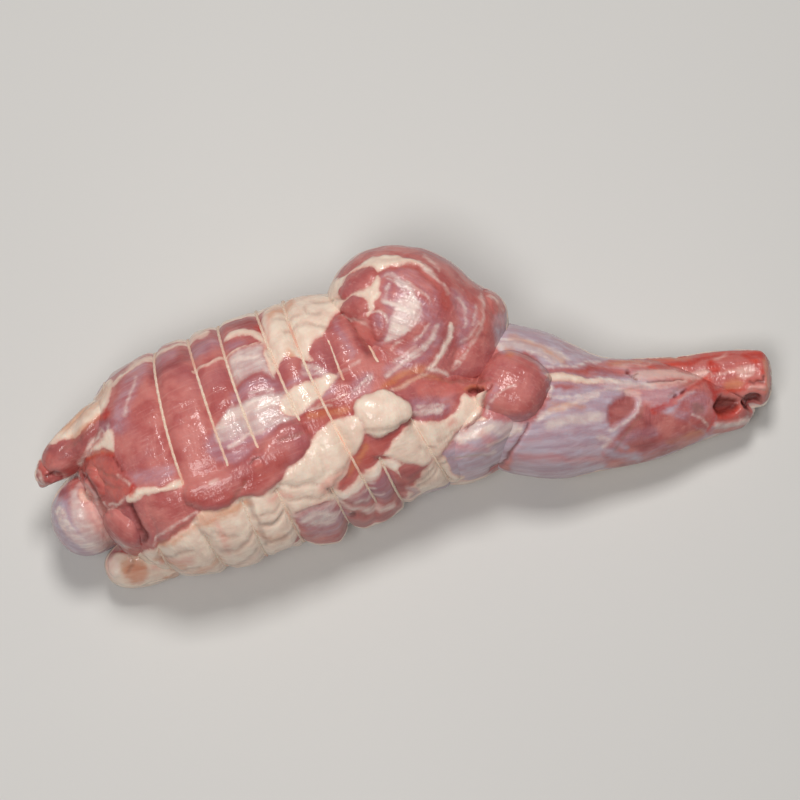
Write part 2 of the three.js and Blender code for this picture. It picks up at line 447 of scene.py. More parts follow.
ROLL_TOP = (
    streak(FAT, 2.4, -150, 8, -140, 17, -128, 23.5, -112, 30.5, -100, 35),
    streak(SILVER, 8, -146, -14, -145, -6, -142, 2, -139, 10, -134, 17),
    streak(SMEAR, 1.2, -143, -8, -141, 2, -137, 12),
    streak(SILVER, 7, -138, -41, -130, -40, -120, -37),
    streak(PLUM_AND_SHADE, 5, -128, 14, -114, 22, -102, 28),
    oval(SILVER, (-101, 28), (9, 4), 25),
    oval(SILVER, (-122, 22), (7, 2.6), 25),
    # The cream cap over the middle of the roll.
    patch(FAT, -72, 35, -73, 41, -70, 47, -62, 53, -52, 55, -44, 55, -36, 62, -26, 65, -18, 61, -13, 50,
        -22, 43, -30, 45.5, -37, 41, -40, 35, -45, 31, -47.5, 25, -46, 20, -50, 21, -54, 22.5, -60, 22.5,
        -64, 18, -65, 13, -69, 17, -70.5, 24, -71, 30, rise=0.7),
    # The film below it, thick and cream on the right, thin and grey on the left.
    patch(SILVER, -101, -26, -98, -16, -90, -13, -80, -12, -68, -12, -64, -15, -72, -22, -80, -29, -88, -33,
        -96, -31),
    patch(PALE, -97, -19, -95, -12, -90, -7, -86, -2, -82, 0.5, -76, 2, -70, 4, -63, 3.5, -58, 6, -52, 9.5,
        -46, 11, -38, 14, -32, 13.5, -37, 7, -42, 1.5, -47, -3, -52, -8, -57, -10.5, -63, -13, -69, -15.5,
        -75, -18, -81, -18.5, -87, -20, -93, -22),
    patch(FAT, -62, -3, -59, 4, -56, 7, -51, 9.8, -44, 11.5, -38, 14.5, -32.5, 13.5, -37, 7, -42, 1.5,
        -47, -3, -52, -8, -58, -8),
    streak(SMEAR, 4, -94, -14, -86, -8, -76, -3, -66, -1, -58, 0),
    streak(SMEAR, 2, -88, -24, -80, -19, -71, -16),
    streak(SILVER, 2, -80, -6, -72, -6.5, -64, -6),
    # The grey window between two loops, the thin lines of fat over it, and the dark ovals below.
    patch(PALE, -89.5, 21.5, -85, 24.8, -78, 27.5, -71, 29.5, -70.5, 24, -69, 17, -64.5, 12.5, -68, 14,
        -72, 15, -77, 13, -81, 11, -84.5, 10, -86, 9, -88, 14),
    streak(SMEAR, 2, -87, 20, -80, 22, -73, 23),
    patch(FAT, -92, 31, -90, 34.5, -84, 36.5, -76, 36.5, -72, 35, -70, 30.5, -73, 31, -78, 33.5, -84, 33.5,
        -88, 32, rise=0.4, edge=1.5),
    streak(FAT, 1.3, -108, 15.5, -103, 18, -98, 19.5, -92, 22, -85, 26, -78, 28.5, -71, 30.3, rise=0.4,
        edge=0.7),
    oval(SILVER, (-86, 29), (6, 2.2), 14),
    oval(PLUM_AND_SHADE, (-81, 40), (10, 3), 8),
    oval(RED, (-76, 40.5), (5, 2.4), 8),
    oval(BLOOD, (-74, 38.5), (1.6, 2), 0),
    patch(LEAN, -86.5, -3.5, -88, 4, -85, 9, -80, 12, -75, 14.4, -70, 14.2, -66, 12, -62.5, 8, -60.5, 4,
        -64, 2.8, -70, 3, -76, 1, -81, -1, rise=1.1),
    streak(PLUM_AND_SHADE, 3, -85, 5, -80, 9, -74, 11.5, -68, 10),
    # Lilac skin over the oval's lower part, and a painted highlight along it.
    streak(SILVER, 9, -84, 1, -78, 5, -70, 7, -64, 6),
    streak(SMEAR, 1.4, -78, 3, -71, 5, -65, 5),
    patch(LEAN, -64, 12, -63.5, 18, -60, 21, -55.5, 21, -52, 17, -50, 12.5, -49.5, 9.8, -55, 8, -60.5, 5.8,
        -62.5, 9),
    streak(SILVER, 3.2, -60, 8.5, -55, 10.5, -51, 12.5),
    patch(SILVER, -50, 18.5, -46, 18.5, -42, 17, -37, 14.5, -42, 12, -48, 11.5, -51, 14),
    streak(SMEAR, 2, -50, 19, -45, 17, -39, 13.6),
    streak(SMEAR, 1.4, -50, 15, -45, 14, -40, 12.4),
    patch(LEAN, -46.5, 24, -45.5, 29.5, -40.5, 32.5, -36, 34, -33, 27, -34, 18.5, -38, 16.5, -43, 19,
        rise=0.7, edge=3),
    oval(STAIN, (-57, 24.5), (2.6, 2), -20),
    streak(RED, 2.2, -66, 45.5, -61, 48.5, -57, 50.5),
    streak(STAIN, 3, -68, 43, -63, 46.5, -57, 50),
    streak(ROSE, 3, -62, 52, -52, 54, -44, 55),
    streak(ROSE, 2, -70, 28, -69, 36, -68, 42),
    # Wrinkles in the cap, with painted shade in them.
    streak(CREASE, 1, -60, 35.5, -52, 38.5, -46, 39.5, -38, 38, rise=-0.7, edge=2),
    streak(CREASE, 0.8, -69.5, 31, -68.5, 26, -67, 21, rise=-0.5, edge=1.6),
    streak(CREASE, 0.9, -47, 50.5, -40, 49.5, -32, 51.5, -28, 53, rise=-0.7, edge=1.8),
    streak(CREASE, 0.7, -66, 41, -60, 42.5, -52, 43, rise=-0.5, edge=1.6),
    streak(CREASE, 0.7, -50, 47, -47, 44, -41, 45, rise=-0.4, edge=1.6),
    # Lean beside the folded muscle's foot.
    patch(LEAN, -39, 32, -37.5, 38, -33, 43, -27, 44.5, -23, 43, -18, 45, -13, 44, -12, 36, -10, 30, -17, 22,
        -24, 22, -30, 20, -34, 18, -36.5, 24, rise=1.6, edge=5),
    # The eighth loop's groove, with painted shade in it.
    streak(CREASE, 1.4, -26, 42, -22, 36, -18.5, 30, -14, 24, rise=-1, edge=2.4),
    streak(SILVER, 4, -33, 38, -29, 30, -26, 24),
    streak(PLUM_AND_SHADE, 3, -27, 40, -22, 31, -17, 24),
    streak(ROSE, 3, -21, 41, -17, 36, -14, 32),
    # Painted highlights: a thin white line under the foot, and fine lines over a patch of pale skin.
    streak(SMEAR, 0.8, -32, 15, -27, 17.4, -21, 20.5),
    patch(SILVER, -26, 2, -24, 9, -19, 14, -14, 13, -15, 6, -20, 3),
    streak(SMEAR, 0.9, -25, 4, -20, 8, -16, 12),
    streak(SMEAR, 0.7, -22, 3.6, -17, 8, -14, 12),
    oval(SILVER, (-37, 5), (6, 2.6), 38),
    streak(FAT, 0.8, -43, -2.5, -37, 0, -30, 2.5, -26, 4),
)

LOWER_FAT = (
    patch(FAT, -134, -79, -125, -76, -118, -70.5, -110, -66.5, -104, -58, -98, -52, -80, -46, -66, -42,
        -60, -35, -50, -24, -43, -16, -30, -9, -22, -9, -19, -15, -20, -24, -26, -38, -30, -47, -26, -46,
        -19, -39, -11, -33, -3, -31, 2, -36, -2, -45, -6, -50, -14, -54, -22, -57, -30, -66, -44, -69,
        -52, -72, -60, -78, -78, -88, -105, -99, -135, -105, -134, -88, rise=0.6, edge=5),
    # Brown and pink along its upper edge.
    streak(STAIN, 2.4, -124, -76, -116, -72, -109, -68, -104, -65),
    streak(RED, 1.6, -120, -74, -112, -71, -106, -67.5),
    oval(STAIN, (-101, -61), (4, 5), -30),
    streak(STAIN, 4, -97, -60, -88, -57.5, -80, -54),
    patch(RED, -79.5, -50.5, -72, -50, -65, -48.5, -66, -53, -72, -54, -78, -53.5),
    # Long soft folds from one loop to the next, with painted shade in them.
    streak(CREASE, 1, -126, -84, -116, -80, -108, -78, rise=-0.8, edge=3),
    streak(CREASE, 0.8, -118, -90, -110, -87, -104, -86, rise=-0.8, edge=3),
    streak(CREASE, 1, -98, -68, -90, -70, -84, -69.5, rise=-0.7, edge=3),
    streak(CREASE, 1.6, -93, -79, -85, -76.5, -79, -73, -75, -69.5, rise=-1.3, edge=3.5),
    streak(CREASE, 1, -88, -86, -80, -82, -74, -78, rise=-0.8, edge=3),
    streak(ROSE, 3, -97, -62, -92, -70, -90, -78),
    streak(ROSE, 2.4, -68, -52, -62, -50, -56, -50),
    streak(ROSE, 3, -128, -86, -118, -84, -108, -82),
    streak(STAIN, 3, -122, -92, -108, -90, -94, -84),
    streak(CREASE, 2, -79, -51, -76.5, -57, -73, -64, -71, -70, -70, -76, rise=-0.8, edge=3),
    streak(RED, 1.8, -79, -51, -77, -56, -74.5, -61),
    streak(STAIN, 2.2, -73, -70, -68, -72, -61, -70),
    streak(CREASE, 2, -70.5, -65, -66, -64.5, -63, -62, -60.5, -58.5, rise=-1.6, edge=3),
    streak(CREASE, 1.2, -72, -60, -67, -58, -62, -54, rise=-0.8, edge=3),
    streak(CREASE, 1.2, -70, -74, -63, -71.5, -55, -68.5, rise=-1, edge=3),
    streak(CREASE, 1.6, -58, -57, -56, -61, -53, -66, -50, -71, rise=-0.6, edge=2.5),
    streak(CREASE, 1.2, -62, -44.5, -54, -45, -47, -43.5, -42, -44, rise=-1, edge=2.6),
    streak(CREASE, 1, -57, -52.5, -49, -51, -42, -51, -36, -49, rise=-0.9, edge=2.6),
    streak(CREASE, 1, -53, -58.5, -47, -56, -41, -54.5, -36, -52, rise=-0.8, edge=2.6),
    # The round muscle that swells between two loops under it, with painted highlights over its top.
    patch(LEAN, -54.5, -61, -52, -57, -46, -54, -38, -52.5, -31, -53.5, -26.5, -57, -24.5, -62, -23, -70,
        -26, -80, -38, -86, -47, -86, -50, -76, -53, -67),
    patch(SILVER, -54, -62, -50, -57, -42, -54.5, -33, -55, -27, -59, -27, -64, -32, -68, -40, -70, -48, -69),
    patch(PALE, -52, -62, -48, -58, -41, -56, -34, -57, -32, -61, -37, -64, -45, -65),
    streak(RED, 5, -52, -72, -46, -76, -37, -77, -28, -70),
    streak(PLUM_AND_SHADE, 3, -51, -76, -44, -80, -34, -79, -26, -71),
    streak(SMEAR, 2, -55, -61, -49, -56.5, -41, -54.5, -33, -54),
    streak(SMEAR, 1.4, -52, -64.5, -46, -60, -38, -58, -30, -59),
    streak(SMEAR, 0.9, -49, -66, -42, -63.5, -34, -63),
    # The next swelling, streaked white and violet.
    patch(LEAN, -28, -51.5, -20, -46, -13, -40, -7, -36.5, -1, -38, 3.5, -42, 4, -48, 4, -60, -4, -72,
        -22, -74, -24, -60, -28, -55),
    patch(SILVER, -27, -52, -19, -46, -12, -40.5, -6, -38.5, -2, -43, -5, -50, -14, -54, -22, -54),
    streak(PLUM_AND_SHADE, 5, -14, -49, -6, -49, 1, -45),
    streak(PLUM_AND_SHADE, 6, -22, -66, -12, -66, -2, -60),
    streak(RED, 4, -20, -61, -11, -61.5, -2, -57),
    streak(SMEAR, 3.4, -31, -51.5, -24, -47.5, -17, -42.5, -11, -37.5),
    streak(SMEAR, 3, -31, -53.5, -23, -56.5, -14, -57.5, -4, -55),
    streak(SMEAR, 1.2, -27, -51.5, -20, -48.5, -13, -46),
    streak(SMEAR, 1, -24, -53, -16, -51.5, -9, -48.5),
    # Painted shade in its creases and in the small hollows beside it.
    streak(CREASE, 1, -30, -52, -24, -53.5, -17, -53, -12, -51.5, rise=-0.8, edge=2.6),
    streak(CREASE, 0.9, -29, -54.5, -24, -58.5, -18, -60, rise=-0.8, edge=2.4),
    streak(DARK, 1, -36.5, -46.5, -34, -49, -32, -51, rise=-1.2, edge=2),
    oval(DARK, (-24, -61), (1.8, 1.8), 20, rise=-1.6, edge=3),
    # Cream cushions above it.
    patch(FAT, -60.5, -37, -55, -33, -48.5, -26, -44.5, -22.5, -41, -26, -39.5, -32, -39.5, -38, -46, -41.5,
        -52, -43, -58, -43.5, -62, -41, rise=1.1, edge=5),
    patch(FAT, -42.5, -21.5, -38.5, -16.5, -32, -12, -27, -10.5, -21.5, -10.5, -19, -15, -20, -21, -24, -29,
        -28, -35, -33, -42, -36, -45, -38, -39, -39, -33, -41, -26, rise=1.5, edge=6),
    patch(ROSE, -38, -40, -33, -37, -27, -31.5, -24, -31, -28, -37, -34, -43.5, -36.5, -44),
    # Painted shade in a shallow crease.
    streak(CREASE, 0.9, -37, -39, -32, -36, -28, -33, -25, -30, rise=-0.5, edge=1.6),
    patch(RED, -44.5, -42, -39, -39.5, -36.5, -45, -38.5, -46.5),
    patch(LEAN, *BARE_STRIP),
    patch(RED, *BARE_STRIP),
    streak(STAIN, 3, -19, -24, -21, -31, -26, -39),
)

ROPE = (
    patch(LEAN, -113, -50, -108, -55, -103, -57, -95, -57, -89, -55.5, -85.5, -52, -84, -49.5, -79, -49.5,
        -72, -48.5, -66, -45.5, -62, -42, -60, -37, -55, -33, -50, -28, -47, -22, -48, -16, -53, -12,
        -60, -13, -66, -17, -72, -22, -80, -29.5, -88, -34, -95, -38, -108, -42, rise=3.2, edge=6),
    patch(RED, -52, -10, -46, -4, -40, -2, -33, -1, -27, 2, -23, -2, -23.5, -8.5, -30, -10.5, -38, -14,
        -43, -19, -49, -18),
    streak(STAIN, 4, -46, -9, -38, -7, -28, -5),
    streak(SMEAR, 1, -48, -5, -42, -3.6, -36, -3),
    streak(RED, 8, -80, -43, -70, -38, -62, -31),
    oval(RED, (-98, -50), (12, 5), -4),
    # Painted shade in two creases.
    streak(CREASE, 1.2, -64, -21.5, -57, -20, -51, -17.5, rise=-0.8, edge=2.4),
    streak(CREASE, 1, -87, -53, -85.5, -47, -81, -42, rise=-1.2),
    oval(ROSE, (-74.5, -34), (2.8, 2), 20, rise=1, edge=2),
    # Painted shade beside the nub.
    streak(DARK, 0.7, -78, -33.5, -76, -31, -72.5, -30.5, rise=-0.8, edge=1.6),
    # A painted highlight: a small white glint on the rope.
    oval(SMEAR, (-97, -42), (2.6, 1.3), 15),
)

RUMP = (
    # The strap, fat on its upper edge and lean below.
    patch(FAT, -150, 10, -152, -3, -157, -9, -163, -14.5, -169, -19.5, -175, -21, -183, -23, -190, -14,
        -172, 4, -160, 12),
    streak(STAIN, 4, -180, -18, -170, -11, -160, -2, -153, 6),
    streak(STAIN, 5, -186, -14, -176, -4, -164, 7, -154, 14),
    streak(PLUM_AND_SHADE, 9, -184, -30, -174, -26, -164, -20, -155, -13),
    streak(STAIN, 2, -170, -19, -163, -14, -157, -9),
    oval(BLOOD, (-153.5, -7.5), (3.6, 1.8), 70),
    # Painted shade in a fold of the strap.
    streak(CREASE, 0.8, -176, -26, -168, -22, -160, -14, rise=-0.5, edge=2),
    oval(RED, (-187, -35), (4, 5), 20),
    oval(ROSE, (-184, -32), (5, 4), 20),
    streak(SMEAR, 1.2, -188, -43, -184.5, -46, -182, -44),
    streak(SMEAR, 1.6, -190.5, -31, -189.5, -36, -187, -41, -184, -45.5),
    oval(RED, (-185, -44), (3, 3), 0),
    # Painted shade in a hollow at the strap's tip.
    streak(DARK, 1.4, -184, -40, -180, -38.5, -176, -39.5, rise=-0.8, edge=2),
    streak(SMEAR, 1.2, -165, -34, -162, -29, -159, -24),
    streak(RED, 2, -174, -39, -170, -36.5, -165, -38),
    # Stringy fat where the strap comes off.
    patch(FAT, -161, -27, -158.5, -23.5, -155, -20, -151.5, -15.5, -149, -16, -148.6, -21, -148, -27,
        -151, -26, -154, -25, -157, -26),
    streak(SMEAR, 2.4, -166, -33, -163, -28.5, -160, -23, -155, -17),
    streak(SMEAR, 0.9, -152, -13, -150, -18, -149, -24),
    streak(SMEAR, 0.8, -156, -15, -152, -18, -149, -19),
    oval(SILVER, (-153, -14), (4, 3), 0),
    # The torn muscle below it.
    patch(LEAN, *TORN_MUSCLE, rise=1),
    patch(RED, *TORN_MUSCLE),
    patch(ROSE, -160, -31, -153, -30, -147, -36, -141, -46, -144, -52, -150, -50, -156, -42),
    streak(BLOOD, 1.8, -162, -31, -157, -28.8, -152, -28, -149, -29),
    streak(STAIN, 1.6, -160, -29.5, -155, -27, -150, -27.5),
    oval(BLOOD, (-138.5, -47), (2, 3), -20),
    streak(SMEAR, 1, -146, -38, -142.5, -41.5, -139.5, -45),
    streak(SMEAR, 1.2, -142, -51, -146, -54, -150, -54.5),
    streak(SMEAR, 1, -153, -53, -151, -57, -147, -55.5),
    # Painted shade in its creases and clefts.
    streak(CREASE, 0.9, -160, -35, -153, -38, -146, -40, rise=-0.8, edge=2),
    streak(CREASE, 0.9, -157, -41, -151, -44, -145, -46, rise=-0.8, edge=2),
    streak(DARK, 1, -148.5, -30, -146, -33.5, -144, -36.5, rise=-1, edge=2.5),
    streak(DARK, 1.6, -165, -38, -161, -42.5, -158, -47, -156, -51, rise=-1.2, edge=3),
    streak(CREASE, 1.2, -156, -51, -154, -57, -150, -60, rise=-0.8, edge=3),
    # The smooth wedge between it and the cleft.
    patch(LEAN, -153, -58, -146, -57, -141, -55, -139, -62, -134, -73, -137, -77, -145, -75.5, -152, -71,
        -155, -64, rise=0.8),
    patch(FAT, -140.5, -53.5, -141.5, -50, -137, -47, -130, -45.5, -122, -44, -113.5, -41, -112.3, -44.5,
        -118, -46.5, -127, -48, -134, -50.5, rise=0.7, edge=1.6),
    # Painted shade down the cleft.
    streak(PLUM_AND_SHADE, 4, -140.5, -55, -138, -62, -134, -72),
    streak(DARK, 1.8, -140, -54.5, -138, -60, -135.5, -66, -133, -71, -132.5, -74, rise=-1.4, edge=2.4),
    oval(RED, (-134, -78), (9, 3), 5),
    # The ball of muscle under its skin, with a broad pink seam of fat and painted shade on its left.
    patch(SILVER, -174, -42, -183, -50, -184, -62, -182, -74, -173, -85, -160, -88, -148, -84, -149, -79,
        -158, -73, -165, -66, -168, -58, -171, -50),
    streak(RED, 6, -176, -43, -174, -49, -170, -53),
    streak(PLUM_AND_SHADE, 5, -176, -45, -174, -51, -169, -56),
    streak(SHEATH, 11, -178, -57, -174, -67, -167, -76, -156, -82),
    streak(SMEAR, 5, -177, -58, -172, -68, -165, -75, -155, -79),
    streak(PLUM_AND_SHADE, 2.6, -182, -58, -180, -68, -175, -78),
    patch(PALE, -168, -45, -164, -43.5, -159.5, -47, -157, -52, -155.5, -59, -153.5, -66, -149, -72,
        -141, -77.5, -150, -78, -160, -76, -167, -69, -171, -60, -171.5, -52),
    patch(ROSE, -167, -45, -164, -43.5, -160, -48, -158, -54, -156, -61, -150, -71, -155, -72, -161, -64,
        -165, -55),
    oval(FAT, (-164, -50), (2.6, 3.4), 20),
    streak(SMEAR, 2, -163, -50, -160, -58, -156, -66, -150, -73),
    oval(SMEAR, (-173, -41.5), (2.4, 1.4), -50),
    streak(RED, 1.6, -177, -41, -178, -46, -177.5, -51),
    # Front face, with its seam, painted shade in it, and its line of fat.
    streak(SMEAR, 1.1, -128, -75, -126, -70.5, -118, -66, -111, -62, -105, -58.5, rise=0.4, edge=1),
    streak(CREASE, 1.2, -127, -77, -119, -70.5, -111, -66, -106, -62, rise=-0.8, edge=2),
    # The knob of fat at the front corner.
    patch(FAT, -152, -82, -147, -79.5, -138, -80, -128, -80, -114, -84, -112, -98, -130, -104, -152, -104,
        -158, -92),
    oval(STAIN, (-138, -88), (7, 7), 10),
    oval(ROSE, (-137, -89), (6, 5), 10),
    oval(SMEAR, (-130, -85), (4, 3.4), 20, rise=0.8, edge=3),
    oval(SMEAR, (-149, -87), (3, 6), 10, rise=0.6, edge=3),
    # Painted shade in the knob's creases.
    streak(CREASE, 1, -140, -80, -139, -84, -141, -90, rise=-0.8, edge=3),
    streak(CREASE, 1, -126, -81, -121, -85, -116, -88, rise=-0.8, edge=3),
    streak(STAIN, 3, -126, -82, -120, -84.5, -112, -86),
    streak(ROSE, 2.4, -151, -80, -152, -86, -151, -92),
    oval(PALE, (-112, -88), (12, 3), 12),
)

FOLD = (
    # The cream crescent round its top, thinning on the right.
    patch(FAT, -33, 50, -31.8, 57, -28.5, 62.5, -24, 68, -18, 73, -11, 75, -3, 75.3, 4, 73.6, 10, 71.2,
        15, 68, 10, 69.6, 3, 70.6, -4, 69.6, -9, 67.5, -12, 66, -14, 68.8, -19, 69.2, -24.5, 66, -28, 61,
        -30, 55, rise=0.5, edge=2),
    streak(SMEAR, 1.8, 9, 71, 14, 68.3, 18, 64.5),
    streak(SMEAR, 0.9, 18, 64.5, 22, 60, 25, 55),
    streak(SMEAR, 1, 12, 75, 16, 72, 20, 68.5),
    # Three small muscles on its left, with the web of fat between them.
    patch(LEAN, -31, 53, -30.5, 57.5, -26, 63.5, -20, 68.3, -15, 68.6, -12.2, 66, -14.5, 62, -19, 58, -24, 55,
        -29, 52, rise=1.6),
    patch(FAT, -24.5, 54.5, -19, 57.5, -14.5, 61.5, -12, 64.5, -10.8, 62, -10, 56, -11.5, 52.5, -12.5, 49,
        -15.5, 43.5, -16.5, 45, -15.5, 50, -17.5, 53, -21, 54),
    patch(LEAN, -30, 46, -28, 51.5, -23, 54, -18, 52.5, -15.8, 48, -17, 44, -20.5, 42.5, -27, 43, rise=2.2),
    streak(SMEAR, 1.1, -29, 43.2, -24, 42.8, -20, 42.5, -17, 40),
    # The swirl: a thin grey web with a cream heart, and dark muscle showing through it.
    patch(SILVER, -10.5, 64.5, -6, 66.8, -1, 66.5, 3, 62.5, 7, 56.5, 10.5, 53, 14.5, 49, 16.8, 44.5, 15, 41,
        10, 40.5, 5, 36, -1, 32, -7, 29.5, -11.5, 29, -8.5, 34, -6.5, 40, -6.5, 46, -8.5, 49.5, -10, 53.5,
        -10.5, 59),
    patch(SMEAR, -2, 51, 3, 54, 8, 53.5, 10.5, 49, 10.5, 43, 7.5, 38.5, 3, 34.5, -2, 31.5, -9, 29.6, -6.5, 34,
        -4, 39, -3, 44),
    streak(SMEAR, 2.4, -9, 52, -3, 50, 2, 51),
    oval(PALE, (2.5, 43), (5, 10), -25),
    streak(PALE, 3, -6, 64, 1, 61, 7, 55),
    streak(SMEAR, 1, -8, 64, -3, 62, 1, 58, 3, 54),
    streak(SMEAR, 1, -4, 65.5, 2, 61.5, 7, 54.5),
    streak(SILVER, 3, -1, 64, 3, 60, 6, 56),
    streak(LEAN, 1.8, -10, 57, -9.6, 61.5, -7, 63.6, -4, 62.8, -2.2, 60),
    streak(SILVER, 1.6, -8, 57, -7.6, 60.5, -5, 61.5),
    streak(LEAN, 1.4, -3.4, 61, -3.2, 56.5, -4, 53),
    streak(SMEAR, 0.9, -7.5, 53, -7.2, 57.5, -6, 60),
    patch(LEAN, -13, 44, -10, 45.5, -7.5, 42.5, -6.8, 38, -8.5, 33.5, -11, 30.5, -13.5, 32, -14.5, 37,
        rise=1.1, edge=3),
    oval(SILVER, (-10, 41), (2, 4), 10),
    oval(LEAN, (-11, 50), (2.2, 2.4), 60),
    streak(SMEAR, 0.8, -14, 45.5, -10.5, 46, -7, 44, -5.8, 40),
    # Muscle between the web and the crescent, drawn into fine silver lines.
    streak(RED, 2, -12, 66.3, -6, 68.6, 2, 69.5, 9, 68, 15, 64, 19, 58, rise=-0.6, edge=3),
    streak(SILVER, 1.6, 2, 66, 7, 62.5, 12, 57.5, 16, 51, 18.5, 44),
    streak(SILVER, 1.2, 0, 68, 6, 66, 12, 62, 17, 56, 20, 49),
    streak(SMEAR, 0.7, 3.5, 62, 7.5, 58.5, 12, 55.5, 15.5, 51.5),
    streak(SILVER, 2.2, 11, 46.5, 14.5, 43, 17.5, 38),
    # A painted highlight along a fine line.
    streak(SMEAR, 0.9, 7, 31, 10, 33.5, 12.5, 36.5, 14.5, 39),
    streak(SILVER, 3, 1, 26, 8, 30, 14, 35.5, 18, 41),
    # The bright band that sweeps down to the roll, and the one beside it: silver skin with painted
    # highlights.
    streak(SILVER, 6, -6, 14.5, 0, 18.5, 6, 23, 12, 27.5, 17, 33, 19.5, 39),
    streak(SMEAR, 2.4, -7, 13, -1, 18, 5, 22.5, 11, 27, 16, 32, 19, 39),
    streak(SMEAR, 0.7, 1, 18, 8, 22.5, 14, 27.5),
    streak(SMEAR, 0.8, -3, 20.5, 3, 24, 8, 28),
    streak(SILVER, 4, 3, 17.5, 10, 21, 16, 26, 20, 31),
    streak(SMEAR, 0.7, -4, 26, -2, 29.5, 1, 31),
    streak(FAT, 1.6, 27, 40, 26.6, 35, 24.6, 29, 21.5, 23.5, 18.5, 19.5, 15, 17),
    streak(SMEAR, 2.4, 27, 38, 25, 30, 21, 23, 15, 17),
    streak(SMEAR, 1.6, 14, 16.5, 19, 15.6, 24, 13.6),
    # Thin arcs on its right side.
    streak(SMEAR, 0.9, 30, 53, 33, 48, 34.5, 42, 34, 38),
    streak(SMEAR, 1.1, 41.5, 54, 43.5, 50, 43.5, 44, 42.5, 38, 40, 33, 37, 29),
    streak(SMEAR, 0.8, 39.5, 49, 39, 44, 38, 39.5),
    streak(SMEAR, 1, 41, 41, 39, 36, 36, 32.5, 32, 30),
    streak(SMEAR, 0.7, 37, 31, 35, 26, 31, 21, 27, 17.5),
    streak(SMEAR, 0.6, 33, 22, 30, 18, 27, 15.5),
    streak(SILVER, 3, 38, 48, 39, 42, 37, 36),
    streak(ROSE, 1.6, 47, 50, 46.5, 43, 44.5, 36),
    patch(SILVER, 27, 58, 33, 54, 37, 46, 37, 36, 33, 27, 30, 30, 31, 42, 28, 51),
    oval(RED, (24, 52), (3, 6), 10),
    streak(SMEAR, 1, 46, 54, 50, 51.5, 52.6, 47),
    oval(ROSE, (51, 47), (2.4, 5), -10),
    patch(LEAN, 46, 44, 52, 44, 56, 34, 56, 22, 50, 14, 44, 12, 41, 20, 45, 30),
    # Its foot: stained tendon, lean, and grey skin underneath.
    streak(STAIN, 4, -7, 7, -2, 11.5, 5, 15, 12, 16.5),
    streak(STAIN, 2, -2, 6, 4, 10, 12, 13, 20, 11.5),
    streak(SMEAR, 1.4, -3, 5, 3, 8.8, 10, 12.6, 15, 14),
    streak(ROSE, 4, 8, 9, 18, 8, 28, 6),
    streak(RED, 3, 22, 10, 32, 11, 42, 12),
    streak(SILVER, 3, 12, 0, 20, 0.5, 27, 2),
    # Painted shadow under the fold's right side.
    streak(CREASE, 1.2, 22, 10.5, 30, 9.6, 38, 9.6, 46, 11, rise=-1, edge=3),
    patch(FAT, 33, 3, 37, 1, 41, 3.5, 44.5, 5, 45, 3, 44, 1, 43, -3, 41.5, -8, 37, -12, 33, -16, 29, -20,
        25, -24, 22, -27.5, 19, -32, 12, -35, 8, -33, 2, -33, -4, -31, -9, -29, -6, -25, -2, -19, 3, -14.5,
        8, -11.5, 13, -11, 20, -10, 28, -6.5, rise=0.8),
    patch(SILVER, 5, 0, 12, 1, 20, -0.5, 26, -2, 24, -6, 19, -9, 12, -10, 7, -9),
    streak(SMEAR, 3.4, 9, -7, 14, -5.5, 20, -5),
    streak(SMEAR, 1.2, 9, -3, 15, -2.6, 22, -2.6),
    streak(ROSE, 6, 12, 6, 22, 5, 32, 5),
    # Painted shade in the gap by the heel and down the seam between the fold and the heel.
    oval(DARK, (39.5, 5.2), (3.4, 1.4), 8, rise=-2.5, edge=3),
    streak(STAIN, 1.4, 34, 5.5, 38, 7, 43, 7),
    streak(DARK, 1, 47, 8, 44, 3, 43.2, -2, 42, -7, 38.5, -11.5, 34, -14, rise=-1.8, edge=3),
    streak(RED, 1.2, 34, -14, 30, -18, 26, -22, rise=-0.9, edge=2.4),
    patch(LEAN, *CREVICE),
    patch(RED, *CREVICE),
    patch(FAT, -23.5, -3, -22, 0.5, -16, 3.8, -9, 4.8, -3, 3.2, 2, 0, 5.5, -3, 7, -7, 6, -10.5, 1, -13,
        -4, -16, -9, -18.5, -14, -18.5, -18.5, -17, -20.5, -12, -23.5, -8, rise=3.2, edge=8),
    # Painted shade in a fold of the pad, and a painted shadow under its edge.
    streak(CREASE, 1, -18.5, -15.5, -12, -15, -5, -13.5, 1, -11.5, 6, -10, rise=-0.6, edge=2.4),
    streak(CREASE, 0.8, 2, -17, 5, -15, 8, -12.5),
    oval(ROSE, (26, -12.5), (3, 2), 20),
    # Painted shade in small creases.
    streak(CREASE, 0.8, 20, -22, 24, -19, 28, -15.5, rise=-0.5, edge=2),
    streak(CREASE, 0.7, 10, -24, 14, -26.5, 18, -25, rise=-0.4, edge=2),
    oval(ROSE, (-36, -44), (6, 4), 30),
)

